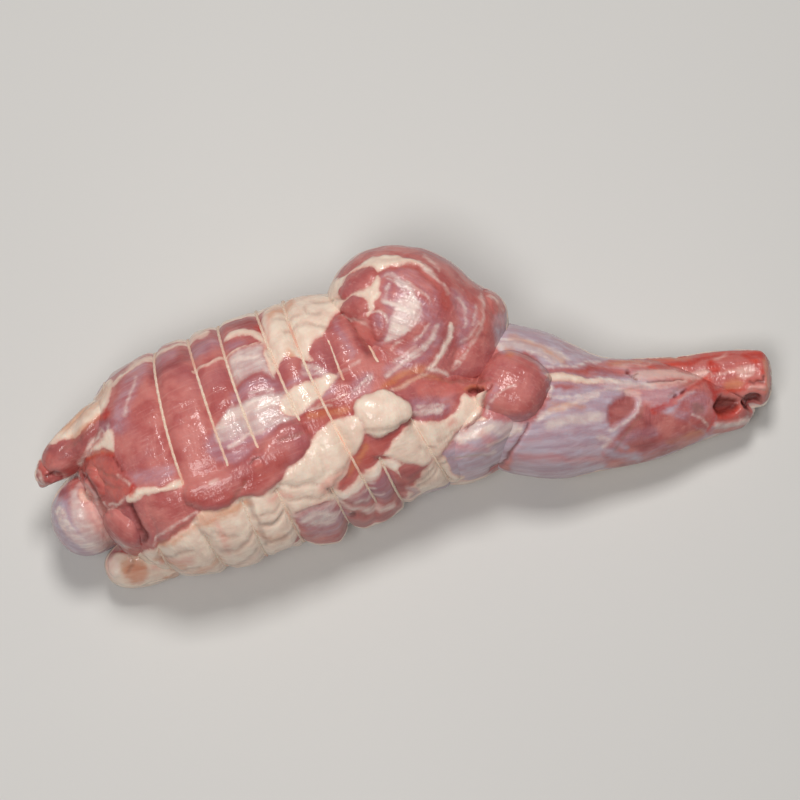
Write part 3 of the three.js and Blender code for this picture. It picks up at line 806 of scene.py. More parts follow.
KNEE = (
    streak(SMEAR, 3, -12, -36.5, -7, -34, -2, -33),
    patch(RED, -2, -38, 2, -41.5, 4.5, -43, 4, -47, -1, -51.5, -7, -53, -8, -50, -3, -46),
    patch(LEAN, -1, -35, 3, -34, 8, -33.5, 12, -34.8, 12.2, -37, 8, -40, 5, -42, 2.5, -40, 0, -38),
    oval(PLUM_AND_SHADE, (6, -37), (6, 3), 10),
    patch(FAT, 13, -35.5, 18, -32, 22, -28.5, 25, -32, 27.5, -38, 34, -41, 22, -50, 4, -56, 4, -48, 9, -42),
    streak(PALE, 2.4, 5, -46, 8, -48, 4, -53),
    # Painted shade in the folds of the fat.
    streak(CREASE, 1.2, 6, -43, 12, -40, 18, -35, 22, -29.5, rise=-1, edge=2.4),
    streak(CREASE, 1, 9, -44.5, 15, -41, 20, -36, 24, -32, rise=-0.9, edge=2.4),
    streak(CREASE, 0.8, 5, -41, 10, -38, 14, -35.5, rise=-0.6, edge=2),
    streak(RED, 2.4, 6, -47, 13, -45, 20, -43.5, 25, -40),
    streak(RED, 1.6, 22, -42, 25, -39.5),
    oval(FAT, (27.5, -41), (3.4, 2.2), 10, rise=0.8, edge=2),
    # The grey and violet end of the calf's muscle, below the heel.
    patch(SHEATH, 43, -8.5, 55, -10.5, 67, -11, 65, -17, 60, -25, 55, -31, 48, -36, 38, -41, 26, -42, 23, -33,
        22.5, -27, 27, -22, 33, -16.5),
    streak(FAT, 4, 33, -15, 38, -11, 44, -9),
    streak(PALE, 8, 32, -19, 40, -15, 50, -14, 60, -14),
    streak(SMEAR, 4, 30, -20, 38, -18, 47, -15),
    streak(SMEAR, 2, 46, -24, 54, -20, 62, -15),
    streak(SMEAR, 1.4, 28, -19.5, 34, -20.5, 31, -23),
    patch(ROSE, 42, -17, 46, -18.5, 51, -20.5, 48, -23.5, 43, -22.5),
    oval(RED, (47, -20), (2.4, 1.4), -10),
    streak(ROSE, 1.8, 22, -25, 30, -24.5, 38, -26, 46, -25.5),
    streak(ROSE, 1.4, 26, -22.5, 31, -24, 37, -24.5),
    streak(SILVER, 2, 24, -28.5, 34, -28, 44, -27, 52, -24),
    streak(SILVER, 4, 27, -33, 38, -32, 48, -30, 54, -27),
    streak(SILVER, 3, 29, -36.5, 38, -35.5, 48, -33.5),
    streak(RED, 1.8, 27, -38, 36, -38.5, 46, -37),
    streak(SMEAR, 1, 30, -30, 40, -29.5, 50, -27),
    # Painted shade in its creases and in the cleft below the heel.
    streak(CREASE, 0.9, 25, -30.5, 35, -30, 47, -29, rise=-0.5, edge=2),
    streak(CREASE, 0.9, 50, -24, 56, -21, 61, -16.5, rise=-0.5, edge=2),
    streak(DARK, 1, 67, -12, 64.5, -17, 61, -23, 57.5, -28, 53, -32.5, 48, -36, rise=-1.8, edge=3),
    # The heel's round muscle, with a painted highlight in a thin arc over it and a small one at its left
    # edge.
    patch(LEAN, 42.5, -8.2, 43, -2, 45.5, 4, 49, 11, 53, 16, 57, 21, 61, 25.5, 66, 25, 73, 18, 77.5, 9, 77, 0,
        73, -7, 69, -11.5, 60, -12, 51, -10.8),
    streak(SMEAR, 0.6, 47, -1, 51, 3, 56, 6.5, 60, 7.6),
    streak(SILVER, 3, 45.5, -6, 47, 0, 50, 6),
    streak(SILVER, 2.4, 48, -8, 58, -9.5, 68, -9),
    streak(SMEAR, 0.8, 45, -6, 46, -2.5),
    oval(SMEAR, (78, 2), (1.6, 1.2), 0, rise=0.6, edge=1),
    oval(SMEAR, (79, 5.5), (1.4, 1.8), 20, rise=0.6, edge=1),
    oval(STAIN, (57, 25), (2, 3), 30),
)

SHANK_MARKS = (
    # The sheathed muscle on the upper side.
    patch(SHEATH, 50, 44, 66, 44, 78, 40, 88, 35, 96, 29, 108, 22, 103, 19, 96, 18, 88, 17, 80, 16.2, 74, 17,
        66, 23, 58, 26, 52, 26),
    streak(PALE, 4, 52, 29, 62, 29, 72, 26.5, 84, 21),
    streak(ROSE, 6, 52, 41, 66, 41, 80, 36, 94, 28),
    streak(SILVER, 4, 58, 35, 70, 33.5, 84, 28),
    streak(SMEAR, 1.4, 54, 32, 66, 31.5, 78, 27, 88, 21),
    streak(STAIN, 1.6, 58, 33.5, 68, 30, 76, 26, 86, 19.5),
    streak(SMEAR, 1.4, 66, 25, 74, 23, 80, 19),
    # The calf under its blue skin.
    patch(SHEATH, 72, 14, 118, 17, 150, 6, 163, -4, 162, -18, 140, -28, 115, -34, 95, -42, 60, -44, 60, -24,
        70, -8),
    streak(SMEAR, 3, 72, -9, 80, -5.5, 90, -1.5, 103, 3.5),
    streak(PALE, 5, 78, -13, 88, -10, 104, -9),
    streak(SILVER, 5, 96, -7, 104, -2, 110, 3),
    streak(SMEAR, 2, 103, -19.5, 109, -21, 106, -24),
    streak(SILVER, 3, 78, -11, 90, -10, 102, -10.5),
    streak(SILVER, 2.6, 72, -20, 84, -19.5, 98, -21),
    streak(SILVER, 3, 66, -25.5, 80, -25, 94, -26.5, 106, -27),
    streak(ROSE, 3, 62, -30, 78, -30, 94, -31.5, 108, -31),
    # Darker plum towards its lower edge: the muscle through the skin, and painted shade where it turns under.
    streak(PLUM_AND_SHADE, 7, 60, -37, 78, -38, 96, -37, 112, -32),
    streak(PLUM_AND_SHADE, 4, 60, -42.5, 75, -43, 95, -41.5, 112, -38, 128, -33, 146, -27),
    # The dark strip and the tendon along the bone.
    patch(LEAN, 75, 16.8, 82, 16.2, 92, 17.2, 100, 18.8, 106, 18.4, 112, 16.8, 118, 14.5, 112, 12.3, 104, 12,
        95, 13, 86, 14, 78, 14.6, rise=-0.5, edge=2),
    streak(RED, 2.6, 76, 15.6, 86, 15.3, 97, 16.3, 108, 15.5),
    oval(SILVER, (106, 13.8), (7, 1.6), -4),
    streak(SMEAR, 0.8, 74, 18, 84, 17.4, 94, 18.6, 104, 20),
    patch(FAT, 75, 14, 86, 13.4, 96, 12, 106, 10.8, 114, 10, 108, 8.6, 96, 8.6, 86, 9.2, 77, 10.5, rise=0.6,
        edge=1.6),
    patch(PALE, 104, 10.6, 116, 9.6, 128, 8.6, 140, 9.4, 149, 11, 142, 8, 130, 6.6, 116, 7.4, 106, 8.6,
        rise=0.5, edge=1.2),
    streak(SMEAR, 2.2, 98, 10.4, 110, 9.6, 122, 8.6, 134, 8.4, 148, 10),
    streak(SMEAR, 0.8, 114, 6, 126, 6.2, 138, 6.6, 148, 8.6),
    # A line of painted shade under the pale band.
    streak(CREASE, 0.7, 108, 5.4, 118, 5.2, 126, 7.6),
    patch(LEAN, 80, 6.6, 84, 8, 90, 7.6, 94, 6.6, 89, 5.4, 83, 5.2),
    oval(RED, (86.5, 6.6), (6, 1.2), 0),
    streak(SILVER, 2.4, 80, 3.4, 92, 3.6, 103, 6),
    streak(SMEAR, 1, 78, 1.2, 90, 1.4, 100, 4, 110, 6.2, 118, 6.4),
    oval(FAT, (76.5, 0.5), (1.8, 1.2), 20, rise=0.5, edge=1),
    streak(STAIN, 1.6, 79, -2.5, 87, -2.5, 96, -3.6),
    streak(STAIN, 1, 77, -5, 84, -5),
    # The dark eye of muscle where the skin has been cut, and its cream rim.
    patch(LEAN, *SHANK_EYE, rise=-0.8, edge=1.6),
    patch(PLUM_AND_SHADE, *SHANK_EYE),
    oval(PLUM_AND_SHADE, (115, -4.5), (6, 4.5), 42),
    streak(SMEAR, 1.3, 121, 4.4, 125, 1, 125, -3, 121, -8, 115, -12.6, 109, -16),
    # The bare muscle beyond it.
    patch(LEAN, 125, -3, 129, -1.5, 133, -4.5, 139, -7, 147, -9, 153, -13, 159, -18, 150, -24, 132, -32,
        110, -37, 106, -28, 112, -19, 118, -12),
    oval(PLUM_AND_SHADE, (122, -16), (13, 9), -35),
    streak(SILVER, 5, 106, -33, 112, -25, 120, -19, 132, -17),
    streak(SHEATH, 3, 102, -25, 114, -29, 124, -30),
    streak(SHEATH, 2, 104, -17, 112, -22, 118, -25),
    streak(SILVER, 3, 118, -32, 132, -27, 146, -20),
    streak(STAIN, 1.4, 140, -22, 150, -19, 158, -16),
    streak(RED, 2.4, 140, -27.5, 152, -22.5, 160, -19),
    # Painted shade along its lower edge and in a shallow crease.
    streak(PLUM_AND_SHADE, 4, 116, -35, 130, -31, 144, -26),
    streak(CREASE, 1, 126, -4, 122, -12, 117, -19, 112, -27, rise=-0.3, edge=2),
)

HOCK = (
    # Scraped bone, bloody along its top.
    patch(ROSE, 106, 20, 112, 24, 125, 24, 142, 26, 158, 30, 172, 32, 188, 30, 198, 24, 198, 8, 180, 3,
        164, 8, 158, 4, 148, 6, 138, 4, 128, 10, 118, 12, 110, 16),
    patch(RED, 106, 20, 112, 24, 125, 24, 142, 26, 158, 30, 172, 32, 188, 30, 198, 24, 192, 18, 180, 20,
        166, 20, 150, 18, 136, 17.5, 124, 17, 114, 17.5),
    patch(SMEAR, 120, 12, 124, 14.5, 132, 15.5, 142, 15, 152, 14, 160, 15.5, 163, 12, 156, 11, 146, 11.6,
        134, 10.6, 126, 10.6, rise=0.5, edge=2),
    streak(PALE, 3.2, 122, 13, 134, 13, 146, 12.8, 160, 13.6),
    streak(SMEAR, 1.6, 166, 13, 172, 15, 178, 17),
    streak(SMEAR, 1.2, 112, 18.5, 118, 17.5, 124, 19),
    streak(SMEAR, 1.2, 122, 18.4, 127, 17.6, 130, 19),
    streak(STAIN, 1.6, 110, 19, 116, 19.5, 124, 20.2),
    streak(STAIN, 1.4, 128, 21.6, 140, 22.4, 150, 23.5),
    streak(BLOOD, 2.4, 130, 17.5, 138, 18, 146, 19.5, 156, 21),
    streak(BLOOD, 4, 158, 22.5, 168, 25.5, 178, 26, 188, 23),
    streak(BLOOD, 2.4, 178, 24, 185, 20, 189, 15),
    oval(BLOOD, (163, 17), (2.6, 4), 30),
    streak(PALE, 2.4, 143, 13, 150, 13.2, 158, 14.8),
    # A painted highlight on the bloody top.
    streak(SMEAR, 1.6, 164, 21.5, 168, 23, 170, 24.5),
    # Painted shade in small pits and cracks.
    oval(DARK, (118.3, 15.2), (1.3, 1), 70, rise=-1.2, edge=2),
    streak(DARK, 0.8, 118, 14.5, 120, 12.4, 123, 11.2, rise=-0.9, edge=1.6),
    streak(DARK, 0.7, 120, 12.6, 123.5, 13.4),
    streak(DARK, 0.6, 129, 9.4, 138, 10, 147, 10.8, rise=-0.5, edge=1.4),
    # The torn muscle ends over the joint.
    patch(LEAN, 142, -6, 148, 1, 154, 4.5, 160, 4, 163, -2, 163.5, -10, 160, -16, 152, -14, 146, -10),
    oval(SILVER, (155, -3), (6, 6), -30),
    oval(CREASE, (155, -4), (4, 3), -30),
    oval(SILVER, (147, -7.5), (4.5, 3.4), -30),
    streak(SMEAR, 0.8, 152, -7, 157, -9.5, 161, -14),
    patch(ROSE, 114, 6, 124, 7, 136, 6, 146, 7.6, 140, 2, 136, -3, 130, -4, 122, 2),
    oval(SMEAR, (121, 4), (5, 1.8), -10),
    streak(BLOOD, 3.6, 133, -5.5, 138, -3, 143, 0.5),
    streak(BLOOD, 2.4, 143, 0.5, 149, 4.5, 156, 9, 161, 12.5),
    streak(SMEAR, 1, 146, 1, 152, 6, 157, 9.6),
    # Painted shade in a crease and two small pits.
    streak(CREASE, 0.8, 140, 2.5, 147, 7, 153, 10.5, rise=-0.8, edge=2),
    oval(DARK, (143.5, 2.6), (1.8, 0.9), 35, rise=-0.8, edge=1.6),
    oval(DARK, (148, 5), (1.4, 0.7), 25),
    streak(SMEAR, 0.8, 142, -1, 148, 2.5, 154, 7),
    streak(BLOOD, 2, 160.5, 9, 163, 3, 164.4, -3, 163.8, -9, 161, -16.5),
    streak(RED, 4, 158, 12, 163, 5, 165, -2),
    # The knuckle: pale gristle over red bone, a crack, and the two open sockets, with painted shade in them.
    # A painted highlight on the knuckle's top.
    oval(SMEAR, (179.5, 15), (5, 3), 15),
    oval(STAIN, (174, 8), (5, 3), 20),
    streak(BLOOD, 1.6, 165, 4, 172, 4.6, 178, 5.6, 181, 8),
    patch(DARK, 164.4, -3, 166.5, 1, 171, 2.2, 175.5, 0.8, 178, -2.5, 176, -6, 170, -8, 165.4, -7.6, rise=-5,
        edge=3.4),
    oval(CREASE, (171, -0.6), (4.6, 2.4), 10),
    patch(BLOOD, 165, -4, 170, -5, 176, -3, 178.5, -5, 174, -9, 167, -10.5, 164, -8),
    streak(STAIN, 1.4, 167, -7.5, 172, -6.6, 177, -4.5),
    patch(DARK, 179, 0.4, 182.5, 3.2, 186.5, 2.8, 188, 0.6, 186.2, -3.4, 183.6, -6, 180.4, -4, rise=-4,
        edge=3),
    streak(PALE, 3.6, 165, -13, 172, -12.2, 178, -11.6, 184, -11.4, rise=0.8, edge=2),
    streak(SMEAR, 2, 175, -12, 180, -10, 184, -11.5),
    streak(BLOOD, 1.2, 164, -10.6, 170, -10, 176, -9.4),
    streak(DARK, 1.1, 182.4, 10, 184.6, 9, 186.4, 10.4, 188.6, 9.6, 189.8, 12.4, rise=-1.6, edge=2),
    streak(SMEAR, 1.6, 181, 6.4, 185, 7.6, 189, 6.4, rise=0.8, edge=1.4),
    streak(STAIN, 1.6, 190.6, 20, 192, 12, 191, 5),
    streak(SMEAR, 1, 190.4, 19, 191.6, 12, 190.6, 6),
)

MARKS = ROLL_TOP + RUMP + LOWER_FAT + ROPE + FOLD + SHANK_MARKS + KNEE + HOCK

# Where the meat has closed over a loop of twine, on the same plane.
OVER_TWINE = (
    Patch(((-112, -45), (-100, -41), (-90, -36.5), (-82, -30), (-73.5, -27), (-66, -20), (-58, -14),
           (-52, -11.5), (-46, -9), (-42, -12), (-42, -21), (-50, -27), (-55, -33), (-60, -38),
           (-63, -45), (-70, -49), (-80, -50), (-86, -54), (-92, -60), (-98, -71), (-108, -62),
           (-113, -52))),
    Patch(((-46, -22), (-40, -22), (-34, -40), (-35, -45), (-40, -44), (-47, -28))),
    Patch(((-35, 7), (-27, 10), (-16, 2), (-8, -14), (-4, -25), (-12, -30), (-22, -22), (-31, -4))),
    Patch(((-19, 17), (-11, 20), (0, 15), (9, 6), (13, -3), (8, -7.5), (2, -12), (-4, -8), (-10, 2),
           (-18, 14))),
    Patch(((-50, 66), (-36, 66), (-30, 52), (-31, 38), (-36, 33.5), (-43, 36), (-48, 50))),
    Patch(((-10, -55), (-2, -54), (4, -57), (4, -68), (-6, -74), (-12, -67))),
    Patch(((-158, 6), (-143, 8), (-138, -30), (-128, -70), (-126, -80), (-140, -84), (-150, -50),
           (-160, -20))),
)


# ---- Skins: closed grids of rings between two poles ----


@dataclass(frozen=True)
class Place:
    """Where a form lies: its origin and its turn about a line straight up."""

    at: Triple
    yaw: float = 0.0

    def turn(self) -> Array:
        """The form's own axes as rows."""
        c, s = np.cos(np.radians(self.yaw)), np.sin(np.radians(self.yaw))
        return np.array([[c, s, 0], [-s, c, 0], [0, 0, 1]])

    def out(self, points: Array) -> Array:
        """From the form's own frame to the shared one."""
        return points @ self.turn() + self.at

    def own(self, points: Array) -> Array:
        """From the shared frame to the form's own."""
        return (points - self.at) @ self.turn().T


@dataclass(frozen=True)
class Cover:
    """What lies over the muscle on the sides that have no marks."""

    fat: float  # share of fat: more than half of it above 0, less below
    silver: float  # share of skin, likewise
    size: float  # size of the patches of fat
    lumps: float = 0.7  # height of the small lumps


def angles(count: int) -> Array:
    """Even angles round a ring, from pi down, so that the faces point outwards."""
    return np.pi * (1 - 2 * np.arange(count) / count)


def normals(points: Array) -> Array:
    """Unit normals of a grid: the cross product of its steps along and round the form, and a pole's mean.

    Args:
        points: A grid of points, one ring a row.

    Returns:
        One unit normal for each point.
    """
    around = np.roll(points, 1, axis=1) - np.roll(points, -1, axis=1)
    along = np.gradient(points, axis=0)
    result = np.cross(around, along)
    result[0], result[-1] = result[1].mean(axis=0), result[-2].mean(axis=0)
    return result / np.maximum(np.linalg.norm(result, axis=-1, keepdims=True), TINY)


def grid_mesh(name: str, points: Array, fields: dict[str, Array], material: Material,
              looped: bool = False) -> Object:
    """Makes a piece from a grid whose rings close on themselves: quads between rings, and a fan at each pole.

    Args:
        name: The piece's name.
        points: Rings by sides by 3. Without looped, the first and the last ring are each a single point.
        fields: Numbers or vectors for each grid place, kept as attributes.
        material: The piece's finish.
        looped: Whether the last ring joins the first one, as on a loop of twine.

    Returns:
        The new object, at the origin and in metres.
    """
    rings, sides = points.shape[:2]
    inner = np.s_[:] if looped else np.s_[1:-1]

    def flat(values: Array) -> Array:
        """One value for each corner: the inner rings' in order, then the two poles'."""
        body = values[inner].reshape((-1,) + values.shape[2:])
        return body if looped else np.concatenate([body, values[:1, 0], values[-1:, 0]])

    count = rings if looped else rings - 2
    ring = np.arange(count if looped else count - 1)[:, None] * sides
    after = (ring + sides) % (count * sides)
    side, beside = np.arange(sides), (np.arange(sides) + 1) % sides
    quads = np.stack([ring + side, after + side, after + beside, ring + beside], -1).reshape(-1, 4)
    loops = [quads.ravel()]
    totals = [np.full(len(quads), 4)]
    if not looped:
        first, last = count * sides, count * sides + 1
        end = (count - 1) * sides
        loops.append(np.stack([np.full(sides, first), side, beside], -1).ravel())
        loops.append(np.stack([end + beside, end + side, np.full(sides, last)], -1).ravel())
        totals.append(np.full(2 * sides, 3))
    loop, total = np.concatenate(loops), np.concatenate(totals)
    places = flat(points) * METRES
    mesh = bpy.data.meshes.new(name)
    mesh.vertices.add(len(places))
    mesh.vertices.foreach_set("co", places.astype(np.float32).ravel())
    mesh.loops.add(len(loop))
    mesh.loops.foreach_set("vertex_index", loop.astype(np.int32))
    mesh.polygons.add(len(total))
    mesh.polygons.foreach_set("loop_start", (np.cumsum(total) - total).astype(np.int32))
    mesh.polygons.foreach_set("use_smooth", np.ones(len(total), bool))
    mesh.update(calc_edges=True)
    mesh.validate()
    for key, values in fields.items():
        kind, slot = ("FLOAT_VECTOR", "vector") if values.ndim == 3 else ("FLOAT", "value")
        layer = mesh.attributes.new(key, kind, "POINT")
        layer.data.foreach_set(slot, flat(values).astype(np.float32).ravel())
    mesh.materials.append(material)
    piece = bpy.data.objects.new(name, mesh)
    bpy.context.scene.collection.objects.link(piece)
    return piece


class Lay:
    """The marks as they fall on one skin: how deep each place is in each tissue, and the relief."""

    SEEN = (0.04, 0.24)  # cosine to the line of sight between which the marks fade in
    FRAY = ((63, 16, 0.12), (64, 6, 0.07))  # noise added to that cosine
    WANDER = ((61, 8.0, 1.0), (62, 3.2, 0.6))  # noise that bends the outlines to the right
    UPWARDS = 10  # added to its seeds for the bend upwards
    RUN = (0.55, 1, 1)  # the cover's scale along the fibres and across them
    CLOSE = 6.0  # depth of tissue for a whole unit of the cover's noise
    PATCHY = 2.0  # height of that noise
    SKIN_SIZE = 0.6  # size of the patches of skin against those of fat
    FAT_EDGE = ((6, 6, 2.2),)  # finer noise along the edge of the fat
    RIMS = {PALE: 3, SILVER: 4, PLUM_AND_SHADE: -4}  # how far each reaches beyond the fat or the skin
    FATTY = (-0.6, 1.4)  # depth of fat between which its own relief comes in
    PROUD = 0.5  # how far fat stands proud of the lean
    LUMPS = ((2, 9, 0.5), (3, 3.6, 0.18))
    FOLDS = ((4, 12, 1.0),)  # noise that is 0 along the fat's folds
    FOLD_RUN, FOLD_WIDTH, FOLD_HEIGHT = (0.6, 1, 1), 0.16, -0.36
    FIBRES = ((5, 2.2, 0.28),)
    FIBRE_RUN = (0.1, 1, 1)

    def __init__(self, points: Array, own: Array, cover: Cover, seed: int) -> None:
        """Lays the marks on the shown side and the cover on the others.

        Args:
            points: The skin's grid, in the shared frame.
            own: The same grid in the piece's own frame, whose X axis runs along the fibres.
            cover: The tissues where no marks are.
            seed: Fixes the skin's random draws.
        """
        self.normals = normals(points)
        seen = smooth(*self.SEEN, SHOW.facing(points, self.normals) + noises(points, self.FRAY))
        shown, relief = self.marked(points, seen > 0)
        hidden = self.covered(own * self.RUN, cover, seed)
        self.depths = {
            kind.value: seen * shown[kind] + (1 - seen) * hidden.get(kind, FAR)
            for kind in LAYERS
        }
        self.relief = seen * relief + cover.lumps * self.unevenness(points, own, seed)

    def marked(self, points: Array, visible: Array) -> tuple[dict[Tissue, Array], Array]:
        """Lays the marks in their order, each one clearing away what it takes the place of.

        Args:
            points: The skin's grid, in the shared frame.
            visible: Whether each place is on the shown side.

        Returns:
            How deep each place is in each tissue, and the height of the marks there.
        """
        flat = (SHOW.flat(points) + self.wander(points))[visible]
        depths = {kind: np.full(visible.shape, FAR) for kind in LAYERS}
        relief = np.zeros(visible.shape)
        for mark in MARKS:
            depth = np.full(visible.shape, FAR)
            depth[visible] = mark.shape.depth(flat)
            relief += mark.height(depth)
            for cleared in CLEARS.get(mark.tissue, ()):
                depths[cleared] = np.minimum(depths[cleared], -depth)
            if mark.tissue in depths:
                depths[mark.tissue] = np.maximum(depths[mark.tissue], depth)
        return depths, relief

    def wander(self, points: Array) -> Array:
        """How far noise bends the outlines at each point, right and up on the show plane."""
        return np.stack([noises(points, self.WANDER, seed) for seed in (0, self.UPWARDS)], -1)

    def covered(self, run: Array, cover: Cover, seed: int) -> dict[Tissue, Array]:
        """Depths on the hidden sides: close * (patchy * noise + share), for fat and for skin.

        Args:
            run: The grid in the piece's own frame, shortened along the fibres.
            cover: The shares and the size of the patches.
            seed: Fixes the random draws.

        Returns:
            How deep each place is in each of the cover's tissues.
        """
        fat = self.CLOSE * (self.PATCHY * Lumps(seed, cover.size).at(run) + cover.fat)
        fat = fat + noises(run, self.FAT_EDGE, seed)
        patches = Lumps(seed + 1, cover.size * self.SKIN_SIZE).at(run)
        skin = self.CLOSE * (self.PATCHY * patches + cover.silver)
        return {FAT: fat, PALE: fat + self.RIMS[PALE], SHEATH: skin, SILVER: skin + self.RIMS[SILVER],
                PLUM_AND_SHADE: self.RIMS[PLUM_AND_SHADE] - skin}

    def unevenness(self, points: Array, own: Array, seed: int) -> Array:
        """Relief of the skin itself: lumps, fat that stands proud and lies in folds, and fibres.

        Args:
            points: The skin's grid, in the shared frame.
            own: The same grid in the piece's own frame.
            seed: Fixes the random draws.

        Returns:
            The height at each place.
        """
        fatty = smooth(*self.FATTY, self.depths[FAT.value])
        valley = np.abs(noises(own * self.FOLD_RUN, self.FOLDS, seed))
        folds = smooth(self.FOLD_WIDTH, 0, valley) * self.FOLD_HEIGHT * fatty
        fibres = noises(own * self.FIBRE_RUN, self.FIBRES, seed) * (1 - fatty)
        return noises(points, self.LUMPS, seed) + folds + fibres + self.PROUD * fatty


@dataclass(frozen=True)
class Twine:
    """Butcher's twine: its thickness, how it lies in the meat, and how two plies are laid into it."""

    radius: float = 1.0
    sink: float = 2.6  # depth of its centre line under the roll's own skin
    under: float = 0.45  # how far the meat's bed lies below its centre line
    bed: float = 0.3  # half width of the flat under it
    reach: float = 5.4  # length over which its pull on the meat fades
    plump: float = 0.75  # how round the meat stands beside it, 0 not at all and 1 a quarter circle
    spread: float = 0.6  # how much farther the pull reaches for each millimetre of a cushion
    arch_reach: float = 3.0  # length over which the meat arches up where the leg rests
    clearance: float = 0.4
    pitch: float = 5.0  # length of one turn of the plies


TWINE = Twine()


@dataclass(frozen=True)
class Tie:
    """Where a loop of twine crosses the roll, how far it leans to the rump, and on which side it leans."""

    at: float
    lean: float
    side: float

    def station(self, angle: Array) -> Array:
        """Distance along the roll at an angle: at - lean cos(angle - side)."""
        return self.at - self.lean * np.cos(angle - np.radians(self.side))


TIES = (
    Tie(31, 5, 30), Tie(60, 10, 30), Tie(79, 5, 30), Tie(98, 7, 10),
    Tie(121, 6, -10), Tie(138, 9, -15), Tie(152, 8, 0), Tie(174, 11, -30),
)


def waist(distance: Array, bed: float, reach: Array | float, plump: float = 0.0) -> Array:
    """How much of a loop's pull is felt at a distance from it, t being the share of the reach.

    Args:
        distance: Distance along the roll from the loop.
        bed: Half width of the flat under the loop.
        reach: Length over which the pull fades.
        plump: Share of a cushion's quarter circle 1 - sqrt(1 - (1 - t)^2) in it, the rest being (1 - t^2)^2.

    Returns:
        The pull, from 1 under the loop to 0.
    """
    away = np.clip((np.abs(distance) - bed) / reach, 0, 1)
    return (1 - plump) * (1 - away * away) ** 2 + plump * (1 - opened(away, 1.0))


@dataclass(frozen=True)
class Form:
    """A form of the leg: a smooth skin of its own, with the marks, a cover and a relief over it."""

    name: str
    place: Place
    cover: Cover
    seed: int

    def base(self) -> Array:
        """The smooth skin, in the form's own frame."""
        raise NotImplementedError

    def shaped(self, points: Array, lay: Lay) -> Array:
        """The skin with its relief, in the shared frame: point + normal * relief."""
        return points + lay.normals * lay.relief[..., None]

    def build(self, material: Material) -> Object:
        """Builds the form with its marks and relief.

        Args:
            material: The form's finish.

        Returns:
            The new piece.
        """
        own = self.base()
        points = self.place.out(own)
        lay = Lay(points, own, self.cover, self.seed)
        skin = closed_ends(self.shaped(points, lay))
        return grid_mesh(self.name, skin, {**lay.depths, "grain": own}, material)


@dataclass(frozen=True)
class Body(Form):
    """A long body with a changing section."""

    END_RINGS = 1.6  # rings over a rounded end, for each step of its length

    length: float
    blunt: Point  # lengths over which its two ends round off
    boxiness: float  # exponent of its sections, 2 being an ellipse
    sections: tuple[tuple[float, ...], ...]  # evenly spaced: back offset, height, half width, half height
    sides: int
    step: float = 0.9  # distance between rings

    def rows(self, along: Array) -> Array:
        """Back offset, height, half width and half height at a distance along the body."""
        return np.moveaxis(between(self.sections, along / self.length), -1, 0)

    def point(self, along: Array, angle: Array, swell: Array | float = 0.0) -> Array:
        """A point on the skin: its section's squircle times both ends' openings, plus swell sqrt(opening).

        Args:
            along: Distance along the body.
            angle: Angle from the top towards the front, in radians.
            swell: Height over the plain skin.

        Returns:
            The points in the body's own frame.
        """
        along, angle = np.broadcast_arrays(along, angle)
        back, height, half, tall = self.rows(along)
        opening = opened(along, self.blunt[0]) * opened(self.length - along, self.blunt[1])
        radius = squircle(angle, half, tall, self.boxiness) * opening + swell * np.sqrt(opening)
        return np.stack([along, back - radius * np.sin(angle), height + radius * np.cos(angle)], -1)

    def stations(self) -> Array:
        """Places of the rings: by equal angles where an end rounds off, and evenly between the two ends.

        Returns:
            The places along the form.
        """
        turns = [np.linspace(0, np.pi / 2, int(self.END_RINGS * blunt / self.step)) for blunt in self.blunt]
        middle = np.arange(self.blunt[0], self.length - self.blunt[1], self.step)
        start = self.blunt[0] * (1 - np.cos(turns[0]))
        end = self.length - self.blunt[1] * (1 - np.cos(turns[1]))
        return np.concatenate([start[:-1], middle, end[::-1][1:]])

    def base(self) -> Array:
        """The smooth skin, in the body's own frame."""
        return self.point(self.stations()[:, None], angles(self.sides)[None])


def closed_ends(points: Array) -> Array:
    """The grid with nothing below the surface, and each end ring drawn to its middle as one point.

    Args:
        points: A grid of points, one ring a row.

    Returns:
        The grid with its ends closed.
    """
    points = points.copy()
    points[0], points[-1] = points[0].mean(axis=0), points[-1].mean(axis=0)
    points[..., 2] = np.maximum(points[..., 2], 0.0)
    return points


